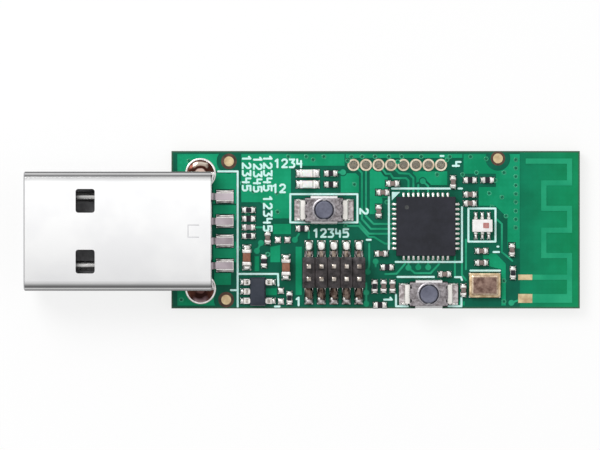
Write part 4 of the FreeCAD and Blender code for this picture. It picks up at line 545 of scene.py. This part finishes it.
# Chip terminals: forty flat lands, ten to a side, under the chip's edges. Solder draws out from
# each as a small bright tongue on its pad.
chip_middle, steps, spread, climb = middle_of(chip_low, chip_high), 6, 0.58, 0.13
tongues = bmesh.new()
for low, high in solids_of("radio_chip_terminals"):
    size = high - low
    axis = 0 if size.x > size.y else 1
    side = 1 if low[axis] > chip_middle[axis] else -1
    rows = []
    for level in range(steps + 1):
        share = level / steps
        swell = 1 if share < 0.6 else math.sqrt(max(0, 1 - ((share - 0.6) / 0.4) ** 2)) * 0.75 + 0.25
        row = []
        for step in range(steps + 1):
            off = step * 2 / steps - 1
            spot = (low + high) / 2
            spot[axis] = (low if side > 0 else high)[axis] + side * size[axis] * share
            spot[1 - axis] += size[1 - axis] * spread * off * swell
            spot.z = copper_top + climb * (1 - share ** 2.2) * (1 - 0.75 * off ** 4) + 0.012
            row.append(tongues.verts.new(spot))
        rows.append(row)
    joined(tongues, rows, False)
    edge = rows[0] + [row[-1] for row in rows[1:]] + rows[-1][-2::-1] + [row[0] for row in rows[-2:0:-1]]
    foot = [tongues.verts.new((corner.co.x, corner.co.y, copper_top - 0.03)) for corner in edge]
    joined(tongues, [edge, foot])
    tongues.faces.new(foot)
piece("chip_terminal_solder", tongues, solder, hides=("radio_chip_terminals",), slot="tin_solder")


# Push switches: a black moulded base with a snap dome under a round plunger, held down by a
# pressed steel cover whose two long sides fold down over the base. A low rim is drawn up round
# the plunger, and a bent terminal leaves each end.
def plate(x, y, outer, hole, bottom, top, edge):
    """A flat stamped plate with a hole and softened edges."""
    curve = bpy.data.curves.new("stamping", "CURVE")
    curve.dimensions, curve.fill_mode = "2D", "BOTH"
    curve.extrude, curve.bevel_depth, curve.bevel_resolution = (top - bottom) / 2 - edge, edge, 2
    curve.offset = -edge
    for loop in (outer, hole):
        spline = curve.splines.new("POLY")
        spline.points.add(len(loop) - 1)
        for point, (u, v) in zip(spline.points, loop):
            point.co = (x + u, y + v, 0, 1)
        spline.use_cyclic_u = True
    holder = bpy.data.objects.new("stamping", curve)
    mesh = bpy.data.meshes.new_from_object(holder)
    shape = bmesh.new()
    shape.from_mesh(mesh)
    bmesh.ops.translate(shape, vec=(0, 0, (top + bottom) / 2), verts=shape.verts)
    bpy.data.objects.remove(holder)
    bpy.data.curves.remove(curve)
    bpy.data.meshes.remove(mesh)
    return shape


cover_steel = finish("pressed_cover_steel", plated, (112, 106, 108), (170, 164, 167), (0.34, 0.5),
    (0.5, 0.03), Stain=4200, Grit=9000)
# The folded sides take near-white steel and the drawn rim a lighter steel than the flat of the cover: painted
# highlight.
fold_highlight_steel = finish("cover_fold_painted_highlight", drawn, (236, 234, 234), (250, 249, 249), (0.2, 0.3),
    (0.1, 0.01), Grit=3800)
rim_highlight_steel = finish("cover_rim_painted_highlight", plated, (142, 138, 142), (196, 192, 196), (0.34, 0.5), (0.45, 0.03),
    Stain=4200, Grit=9000)
# This dull tin colours the switch feet, and is also used as painted shade on the lower-side solder joints.
foot_steel = finish("dull_terminal_foot_and_painted_shade", tinned, (150, 140, 140), (210, 203, 203), (0.3, 0.5),
    (0.3, 0.02), Ripple=2600)
bright_steel = finish("bright_terminal_steel", drawn, (218, 214, 208), (252, 249, 244), (0.22, 0.36),
    (0.15, 0.01), Grit=3000)
switch_plastic = finish("black_switch_moulding", grained, (30, 30, 33), (44, 44, 48), (0.4, 0.6),
    (0.2, 0.01), 0.25)
plunger_plastic = finish("slate_plunger_moulding", grained, (92, 94, 110), (118, 120, 136), (0.4, 0.6),
    (0.3, 0.02), 0.25, Flow=900)
dome_steel = finish("snap_dome_steel", drawn, (180, 180, 182), (216, 216, 218), (0.2, 0.35), (0.1, 0.01))
sheet, fold, skirt, notch, notch_y, turn, opening = 0.15, 0.26, 2.72, 0.22, 0.675, 0.16, 0.975
shelf, face, flange_reach, soft = 0.5, 0.875, 1.025, 0.025
drawn_rim = ((0, -0.12), (0, 0.03), (0.025, 0.055), (0.075, 0.06), (0.145, 0.045), (0.245, -0.01),
    (0.245, -0.12), (0, -0.12))
crown_profile = ((0, 0.1), (0.02, 0.045), (0.06, 0.012), (0.12, 0), (0.16, 0.012), (0.22, 0.03), (0.575, 0.03),
    (face, 0.03))
for number in (1, 2):
    switch = f"switch_{number}"
    low, high = solids_of(f"{switch}_cover")[0]
    (x, y), half, top = middle_of(low, high), (high - low) / 2, high.z
    corners = []
    for end_x, end_y, start in ((1, 1, 0), (-1, 1, 90), (-1, -1, 180), (1, -1, 270)):
        bite = arc(notch, 8, end_x * half.x, end_y * notch_y, 270 if end_x > 0 else 90, -180)
        corner = arc(turn, 4, end_x * (half.x - turn), end_y * (half.y - fold - turn), start, 90)
        corners += bite + corner if end_x == end_y else corner + bite
    cover = plate(x, y, corners, arc(opening, 48), top - sheet, top, 0.025)
    for side in (1, -1):
        bends = ((0.5, 0.01), (0.3, 0.01), (sheet / 2 + 0.02, 0.09), (sheet / 2, 0.2),
            (sheet / 2, top - sheet / 2 - low.z))
        path = [(y + side * (half.y - inset), top - sheet / 2 - drop) for inset, drop in bends]
        strip(cover, path, "y", x, skirt, sheet, 0.04, material=1)
    turned(cover, x, y, [(opening + out, top + rise) for out, rise in drawn_rim], 48, 2)
    piece(f"{switch}_pressed_cover", cover, cover_steel, fold_highlight_steel, rim_highlight_steel, hides=(f"{switch}_cover",),
        slot="switch_cover_steel", weld=True)
    legs = bmesh.new()
    for low, high in solids_of(f"{switch}_terminals"):
        side, width = 1 if low.x > x else -1, high.y - low.y
        inner, outer = (low.x, high.x) if side > 0 else (high.x, low.x)
        bend, upper, lower = inner + side * shelf, high.z - sheet / 2, low.z + sheet / 2
        strip(legs, ((inner, upper), (bend, upper), (bend, lower + 0.005)), "x", y, width, sheet, 0.08)
        strip(legs, ((bend - side * 0.07, lower), (outer, lower)), "x", y, width - 0.002, sheet - 0.002, 0.1,
            material=1)
    piece(f"{switch}_bent_terminals", legs, bright_steel, foot_steel, hides=(f"{switch}_terminals",),
        slot="tin_solder")
    low, high = solids_of(f"{switch}_plunger")[0]
    flange, button = low.z + 0.2, bmesh.new()
    profile = [(0, low.z), (flange_reach - soft, low.z), (flange_reach, low.z + soft),
        (flange_reach, flange - soft), (flange_reach - soft, flange), (face, flange + 0.01)]
    turned(button, x, y, profile + [(face - inset, high.z - drop) for inset, drop in crown_profile], 48)
    piece(f"{switch}_button", button, plunger_plastic, body=f"button_{number}",
        hides=(f"{switch}_plunger",), slot="plunger_moulding")
    coat(switch_plastic, f"{switch}_base")
    coat(dome_steel, f"{switch}_dome")


# Debug header: two rows of five square pins on a 1.27 mm grid, pressed through a black moulded
# bar. Each pin bends outwards under the bar into a foot that is soldered to the board.
def moulded(shape, low, high, corner, foot, crown, steps, material=0):
    """A rounded block. Its foot and crown list heights from its ends, each with how far it draws in."""
    levels = [(low.z + rise, inset) for rise, inset in foot] + [(high.z - drop, inset) for drop, inset in crown]
    rings = []
    for height, inset in levels:
        radius = max(corner - inset, corner * 0.15, 0.004)
        x_low, y_low = low.x + inset + radius, low.y + inset + radius
        x_high, y_high = high.x - inset - radius, high.y - inset - radius
        corners = ((x_high, y_high, 0), (x_low, y_high, 90), (x_low, y_low, 180), (x_high, y_low, 270))
        rings.append([shape.verts.new((*point, height)) for x, y, start in corners
            for point in arc(radius, steps, x, y, start, 90)])
    solid(shape, rings, material)


header_plastic = finish("black_header_moulding", grained, (22, 19, 20), (86, 80, 82), (0.35, 0.55),
    (0.4, 0.03), 0.35, Pits=5000, Flow=1400)
pin_tin = finish("dull_tinned_pin", tinned, (146, 134, 124), (230, 222, 212), (0.16, 0.3), (0.2, 0.02),
    Ripple=2600)
foot_tin = finish("tarnished_pin_foot", tinned, (92, 78, 70), (176, 162, 148), (0.2, 0.36), (0.3, 0.02),
    Ripple=2600)
# The lower pin row's feet take a darker copy of the foot tin: painted shade, with the painted reflection of the
# black bar.
dark_tin = finish("lower_pin_foot_painted_shade", tinned, (62, 48, 42), (126, 110, 100), (0.2, 0.36), (0.3, 0.02),
    Ripple=2600)
pitch, columns, pin, pin_nodes = 1.27, 5, 0.4, ("header_pins_lower", "header_pins_upper")
bar_low, bar_high = solids_of("header_insulator")[0]
bar_y, well = middle_of(bar_low, bar_high)[1], Vector((0.34, 0.34, 0))
bar, pins = bmesh.new(), bmesh.new()
for column in range(columns):
    left, right = bar_low.x + column * pitch, bar_low.x + (column + 1) * pitch
    moulded(bar, Vector((left, *bar_low.yz)), Vector((right, *bar_high.yz)), 0.16, ((0, 0.06), (0.08, 0)),
        ((0.12, 0), (0.03, 0.04), (0, 0.12)), 3)
    for side in (-1, 1):
        middle = Vector((bar_low.x + (column + 0.5) * pitch, bar_y + side * pitch / 2, bar_high.z))
        moulded(bar, middle - well, middle + well, 0.05, ((-0.05, 0), (0.04, 0), (0.06, 0.03)), (), 2)
for side, node in zip((-1, 1), pin_nodes):
    for low, high in solids_of(node):
        x, foot_y, pin_y = middle_of(low, high)[0], low.y if side < 0 else high.y, bar_y + side * pitch / 2
        strip(pins, ((foot_y, low.z + pin / 2), (pin_y, low.z + pin / 2), (pin_y, bar_low.z + pin / 2)), "y", x,
            pin, pin, 0.3, 0.03, material=1 if side > 0 else 2)
        strip(pins, ((pin_y, bar_low.z + 0.1), (pin_y, high.z - 0.06)), "y", x, pin, pin, 0.3, 0.03, (0.06, 0.4))
piece("header_bar_cells", bar, header_plastic, hides=("header_insulator",), slot="header_moulding")
piece("header_square_pins", pins, pin_tin, foot_tin, dark_tin, hides=pin_nodes, slot="header_pin_tin")

# Voltage regulator: a small black moulding that tapers above and below its lead frame, with
# three leads on one side and two on the other.
regulator_plastic = finish("black_regulator_moulding", grained, (44, 49, 60), (58, 63, 74), (0.4, 0.58),
    (0.3, 0.01), 0.25, Pits=8000)
low, high = solids_of("regulator_body")[0]
waist, body_x = (high.z - low.z) / 2, middle_of(low, high)[0]
regulator, leads = bmesh.new(), bmesh.new()
moulded(regulator, low, high, 0.1, ((0, 0.09), (waist - 0.02, 0.01), (waist, 0), (waist + 0.02, 0.01)),
    ((0.14, 0.05), (0.03, 0.12), (0, 0.17)), 3)
sheet = 0.15
for low, high in solids_of("regulator_leads"):
    side = 1 if low.x > body_x else -1
    inner, outer = (low.x, high.x) if side > 0 else (high.x, low.x)
    upper, lower = high.z - sheet / 2, low.z + sheet / 2
    strip(leads, ((inner - side * 0.05, upper), (inner + side * 0.2, upper), (inner + side * 0.36, lower),
        (outer, lower)), "x", middle_of(low, high)[1], high.y - low.y, sheet, 0.12)
piece("regulator_moulding_body", regulator, regulator_plastic, hides=("regulator_body",),
    slot="regulator_moulding")
piece("regulator_bent_leads", leads, bright_steel, hides=("regulator_leads",), slot="tin_solder")

# Crystal: a quartz plate sealed in a ceramic can. A gold seal ring shows round the thin metal
# lid, which is welded on along its edge. The cream band round the lid's edge is that weld seam
# with a painted highlight.
rim_gold = finish("gold_seal_ring", plated, (180, 154, 118), (234, 212, 176), (0.25, 0.45), (0.3, 0.01),
    Stain=1500)
lid_metal = finish("crystal_lid_metal", plated, (102, 78, 70), (160, 134, 122), (0.3, 0.5), (0.4, 0.02),
    Stain=1900, Grit=5000)
# The lid's cream edge band: the weld seam, with a painted highlight.
seam_and_highlight_metal = finish("crystal_weld_seam_and_painted_highlight", plated, (178, 152, 126), (232, 212, 186), (0.2, 0.35),
    (0.2, 0.01), Stain=2600, Grit=5000)
can, lid = bmesh.new(), bmesh.new()
moulded(can, *solids_of("crystal_base")[0], 0.25, ((0, 0.03), (0.05, 0)),
    ((0.06, 0), (0.015, 0.02), (0, 0.06)), 6)
moulded(lid, *solids_of("crystal_lid")[0], 0.22, ((0, 0), (0.05, 0)), ((0.09, 0.02), (0.005, 0.2)), 6, 1)
moulded(lid, *solids_of("crystal_lid")[0], 0.22, (), ((0.02, 0.2), (0.002, 0.2), (0, 0.22)), 6)
piece("crystal_can", can, rim_gold, hides=("crystal_base",), slot="crystal_rim")
piece("crystal_welded_lid", lid, lid_metal, seam_and_highlight_metal, hides=("crystal_lid",), slot="crystal_cap")


# Antenna balun: a white ceramic block fired from printed layers, with three plated terminals
# on each long side. A square of brown-red glaze marks its first corner.
def caps(name, node, edge, material=solder, slot="tin_solder"):
    """Plated caps or terminals with softened edges, one for each solid of a CAD node."""
    shape = bmesh.new()
    for low, high in solids_of(node):
        moulded(shape, low, high, edge, ((0, edge * 0.6), (edge, 0)),
            ((edge, 0), (edge * 0.3, edge * 0.3), (0, edge)), 3)
    piece(name, shape, material, hides=(node,), slot=slot)


white_ceramic = finish("white_fired_ceramic", plated, (236, 232, 230), (250, 248, 247), (0.4, 0.6),
    (0.2, 0.01), 0.3, Stain=1800, Grit=9000)
brown_mark = finish("brown_glaze_mark", plated, (176, 112, 108), (196, 138, 134), (0.4, 0.55), (0.3, 0.01),
    0.3, Stain=3000)
low, high = solids_of("balun_body")[0]
x, y = middle_of(low, high)
mark, half = Vector((x + 0.36, y + 0.02, high.z)), Vector((0.3, 0.28, 0))
balun = bmesh.new()
moulded(balun, low, high, 0.07, ((0, 0.03), (0.05, 0)), ((0.07, 0), (0.02, 0.02), (0, 0.07)), 4)
moulded(balun, mark - half, mark + half, 0.06, ((-0.01, 0), (0.004, 0), (0.008, 0.02)), (), 3, 1)
piece("balun_ceramic_block", balun, white_ceramic, brown_mark, hides=("balun_body",), slot="balun_ceramic")
caps("balun_plated_terminals", "balun_terminals", 0.035)

# Indicator lamps: two light-emitting diodes, each a small substrate with plated ends, on which
# a milky resin lens is moulded over the die.
substrate = finish("lamp_substrate", plated, (206, 204, 196), (232, 230, 224), (0.5, 0.7), (0.2, 0.01),
    0.3, Stain=2000)
milky_resin = finish("milky_lamp_resin", plated, (238, 238, 234), (252, 252, 250), (0.12, 0.22),
    (0.1, 0.01), 0.5, Stain=2400)
for label, value in (("Coat Weight", 0.4), ("Subsurface Weight", 0.25), ("Subsurface Scale", 0.3 * MM)):
    milky_resin.node_tree.nodes["Principled BSDF"].inputs[label].default_value = value
for number in (1, 2):
    lens = bmesh.new()
    moulded(lens, *solids_of(f"led_{number}_lens")[0], 0.05, ((0, 0), (0.12, 0.01)),
        ((0.1, 0.05), (0.03, 0.08), (0, 0.14)), 4)
    caps(f"lamp_{number}_substrate", f"led_{number}_base", 0.02, substrate, "led_substrate")
    piece(f"lamp_{number}_lens", lens, milky_resin, hides=(f"led_{number}_lens",), slot="led_moulding")
caps("lamp_plated_ends", "led_terminals", 0.02)

# Chip resistors: a slab of white alumina with a printed film under black glass glaze. The
# ferrite beads and the matching coil are like blocks in their own body colours.
glaze = finish("black_resistor_glaze", grained, (18, 20, 26), (36, 38, 46), (0.25, 0.4), (0.2, 0.01), 0.3,
    Pits=9000)
alumina = finish("white_alumina", plated, (206, 208, 208), (232, 232, 232), (0.5, 0.7), (0.2, 0.01), 0.3,
    Stain=2600)
ferrite = finish("grey_ferrite", grained, (112, 104, 106), (150, 142, 144), (0.4, 0.6), (0.3, 0.01), 0.3,
    Pits=7000)
resistors = ["usb_line_resistors", "pullup_resistors", "regulator_resistors", "led_resistors", "bias_resistor"]
for node in resistors + ["usb_ferrite_bead", "supply_ferrite_bead", "matching_inductor"]:
    sides, top = (ferrite, ferrite) if node == "usb_ferrite_bead" else (alumina, glaze)
    slab = bmesh.new()
    for low, high in solids_of(node):
        grow = Vector((0.06, 0, 0)) if high.x - low.x > high.y - low.y else Vector((0, 0.06, 0))
        moulded(slab, low, high, 0.015, ((0, 0.01), (0.02, 0)), ((0.06, 0), (0.045, 0.015)), 2)
        moulded(slab, low - grow, high + grow, 0.04, (), ((0.05, 0.02), (0.02, 0.025), (-0.004, 0.05),
            (-0.01, 0.09)), 3, 1)
    slot = "resistor_glaze" if node in resistors else "ferrite_body"
    piece(f"{node}_glazed", slab, sides, top, hides=(node,), slot=slot)

# Chip capacitors: brown or grey blocks of stacked ceramic layers, tumbled so that their edges
# are round before their ends are plated.
brown_ceramic, grey_ceramic = (
    finish(f"{name}_capacitor_ceramic", grained, low, high, (0.35, 0.55), (0.2, 0.01), 0.35, Pits=8000, Flow=1500)
    for name, low, high in (("brown", (134, 86, 66), (164, 112, 90)), ("grey", (112, 96, 92), (148, 130, 124))))
for node in ("usb_filter_capacitor", "supply_capacitors", "core_capacitors", "analog_capacitors",
        "filter_capacitors", "crystal_load_capacitors", "matching_capacitors"):
    blocks, large = bmesh.new(), node == "supply_capacitors"
    for low, high in solids_of(node):
        moulded(blocks, low, high, 0.03, ((0, 0.03), (0.05, 0.01)), ((0.08, 0.01), (0.03, 0.03), (0.01, 0.07)), 2)
    piece(f"{node}_fired", blocks, brown_ceramic if large else grey_ceramic, hides=(node,),
        slot="large_capacitor_ceramic" if large else "capacitor_ceramic")

# End caps: silver and nickel under tin, dipped onto both ends of every chip resistor and
# capacitor, a little proud of the ceramic.
for kind in ("resistor", "capacitor"):
    caps(f"{kind}_end_caps", f"{kind}_terminations", 0.05)


# Solder joints: bright tin on the pads, each in an opening of the mask a little larger than
# itself. It heaps up against each end cap, lead and foot, and lies as a low dome on a pad
# where no part was fitted.
def mound(shape, low, high, height, material=0, spread=1):
    """A rounded heap of solder: square in outline on its pad, round towards its top."""
    (x, y), half, steps = middle_of(low, high), (high - low) / 2, 24
    rings = []
    for share, swell in ((-0.1, 1), (0.04, 1), (0.3, 0.97), (0.6, 0.88), (0.85, 0.7), (0.97, 0.45), (1, 0.2)):
        power, swell = 2 / (5 - 2.6 * max(share, 0)), 1 - (1 - swell) * spread
        level = copper_top + height * share - (0.01 if share < 0 else 0)
        rings.append([shape.verts.new((x + half.x * swell * math.copysign(abs(u) ** power, u),
            y + half.y * swell * math.copysign(abs(v) ** power, v), level)) for u, v in arc(1, steps)])
    solid(shape, rings, material)


coat(solder, "solder_pads")
# The rim of the mask opening round each pad is coloured dark green, darker than bare laminate: painted shade
# round the joints.
pad_rim_shade = finish("pad_rim_painted_shade", masked, (8, 54, 46), (20, 78, 64), (0.4, 0.6), (0.2, 0.01),
    mask_gloss, Cloud=1500)
margin, heap, overlap = Vector((0.08, 0.08, 0)), Vector((0.26, 0.16, 0)), 0.06
wetted = [(node, low, high) for node in (
    "capacitor_terminations", "resistor_terminations", "led_terminals", "balun_terminals", "regulator_leads",
    "switch_1_terminals", "switch_2_terminals", *pin_nodes, *contact_nodes) for low, high in solids_of(node)]
# The joints on the lower side (-Y) of the plug tails and the tall mounds of the lower header row take the dull
# foot tin instead of bright solder: painted shade. The flat solder on the header pads is dull tin too, darker
# still on the lower row.
gaps, joints, dull_and_shaded_joints = bmesh.new(), bmesh.new(), bmesh.new()
for pad_low, pad_high in solids_of("solder_pads"):
    moulded(gaps, pad_low - margin, pad_high + margin, 0.08, ((-0.01, 0),), ((0.012, 0), (0.01, 0.004)), 2)
    on_it = [part for part in wetted if all(
        part[1][axis] < pad_high[axis] - 0.02 and part[2][axis] > pad_low[axis] + 0.02 for axis in (0, 1))]
    if not on_it:
        if pad_high.x - pad_low.x < 0.7:
            mound(joints, pad_low, pad_high, 0.14)
        continue
    node, low, high = on_it[0]
    if node == "header_pins_upper":
        mound(joints, Vector((pad_low.x, pad_high.y - 1.15, 0)), pad_high, 0.5, spread=0.55)
        mound(dull_and_shaded_joints, pad_low, pad_high, 0.16)
        continue
    if node == "header_pins_lower":
        mound(dull_and_shaded_joints, pad_low, Vector((pad_high.x, pad_low.y + 0.62, 0)), 0.5)
        mound(dull_and_shaded_joints, pad_low, pad_high, 0.16, 1)
        mound(joints, pad_low + Vector((0.02, 0.34, 0)), pad_low + Vector((0.36, 0.78, 0)), 0.52, spread=0.7)
        continue
    if node.startswith("switch_"):
        for end in (low.y, high.y):
            middle = Vector((middle_of(pad_low, pad_high)[0], end, 0))
            mound(joints, middle - heap, middle + heap, 0.3)
    room = {(0, 1): pad_high.x - high.x, (0, -1): low.x - pad_low.x, (1, 1): pad_high.y - high.y,
        (1, -1): low.y - pad_low.y}
    at_plug = node in contact_nodes
    height = 0.15 if at_plug else min(high.z - copper_top, 0.45) * 0.8
    for axis, side in ((1, 1), (1, -1)) if at_plug else (max(room, key=room.get),):
        if room[axis, side] >= overlap:
            joint_low, joint_high = pad_low.copy(), pad_high.copy()
            if side > 0:
                joint_low[axis] = high[axis] - overlap
            else:
                joint_high[axis] = low[axis] + overlap
            mound(dull_and_shaded_joints if at_plug and side < 0 else joints, joint_low, joint_high, height)
piece("pad_openings", gaps, pad_rim_shade, slot="board_laminate")
piece("solder_joints", joints, solder, slot="tin_solder")
piece("solder_joints_dull_and_painted_shade", dull_and_shaded_joints, foot_steel, dark_tin, slot="tin_solder")

# Table and light: a white table top, a large soft lamp above the upper left and an even white
# surround that darkens towards the horizon, as a photographer's light tent does.
table_finish = finish("white_table_paint", masked, (253, 253, 253), (254, 254, 254), (0.7, 0.8),
    (0.05, 0.05), 0, Cloud=40, Peel=300)
tree = table_finish.node_tree
ray, place = add(tree, "ShaderNodeLightPath").outputs, axes(tree)
seen = work(tree, "MAXIMUM", work(tree, "MAXIMUM", ray["Is Camera Ray"], ray["Is Glossy Ray"]),
    ray["Is Transmission Ray"])
clear = [work(tree, "SUBTRACT", distance(tree, place[axis], board_middle[axis]), board_half[axis])
    for axis in (0, 1)]
open_table = ramp(tree, work(tree, "MAXIMUM", *clear), -1 * MM, -0.2 * MM)
glow = add(tree, "ShaderNodeEmission", {"Strength": 1})
share = work(tree, "MULTIPLY", work(tree, "MULTIPLY", seen, open_table), 0.75)
shader = tree.nodes["Principled BSDF"]
shown = add(tree, "ShaderNodeMixShader", {0: share, 1: shader.outputs[0], 2: glow.outputs[0]})
tree.links.new(shown.outputs[0], tree.nodes["Material Output"].inputs["Surface"])
table_reach = 1.5
table_mesh = bpy.data.meshes.new("table_top")
corners = [(x * table_reach, y * table_reach, 0) for x, y in ((-1, -1), (1, -1), (1, 1), (-1, 1))]
table_mesh.from_pydata(corners, [], [(0, 1, 2, 3)])
table_mesh.materials.append(table_finish)
table_top = bpy.data.objects.new("table_top", table_mesh)
bpy.context.scene.collection.objects.link(table_top)
table_top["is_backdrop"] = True

surround = bpy.data.worlds.new("light_tent")
surround.use_nodes = True
bpy.context.scene.world = surround
tree = surround.node_tree
direction, ray = axes(tree, "Generated"), add(tree, "ShaderNodeLightPath").outputs
height = work(tree, "MAXIMUM", direction[2], 0)
shades = ((0, 0.8), (0.15, 0.68), (0.3, 0.46), (0.55, 0.48), (0.75, 0.66), (0.9, 0.9), (1, 1))
tent = bands(tree, height, [(share, (shade, shade, shade, 1)) for share, shade in shades])
towards_top = work(tree, "MULTIPLY_ADD", work(tree, "POWER", height, 3), 0.45, 0.25)
slant = work(tree, "MULTIPLY", direction[1], towards_top)
tent_level = work(tree, "MULTIPLY", tent, work(tree, "ADD", slant, 1))
even_level = work(tree, "MULTIPLY", work(tree, "SUBTRACT", 1, ray["Is Glossy Ray"]), 0.68)
level = work(tree, "ADD", work(tree, "MULTIPLY", ray["Is Glossy Ray"], tent_level), even_level)
seen = work(tree, "MAXIMUM", ray["Is Camera Ray"], ray["Is Transmission Ray"])
background = tree.nodes["Background"]
background.inputs["Color"].default_value = (1, 1, 1, 1)
tree.links.new(work(tree, "MAXIMUM", seen, level), background.inputs["Strength"])

lamp = bpy.data.lights.new("soft_lamp", "AREA")
lamp.shape, lamp.size, lamp.energy = "SQUARE", 0.22, 0.86
lamp_stand = bpy.data.objects.new("soft_lamp", lamp)
lamp_stand.location = (-0.2, 0.22, 0.3)
lamp_stand.rotation_euler = (-lamp_stand.location).to_track_quat("-Z", "Y").to_euler()
bpy.context.scene.collection.objects.link(lamp_stand)
bpy.context.scene.view_settings.view_transform = "Standard"

# Camera: looks straight down from 375 mm, and 600 pixels span 61 mm at the board's face.
camera = bpy.data.cameras.new("camera")
camera.sensor_width, camera.lens = 36, 220.5
camera.clip_start, camera.clip_end = 0.01, 10
camera_stand = bpy.data.objects.new("camera", camera)
camera_stand.location = (-0.335 * MM, 0.483 * MM, 374.9 * MM)
bpy.context.scene.collection.objects.link(camera_stand)
bpy.context.scene.camera = camera_stand

low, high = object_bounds()
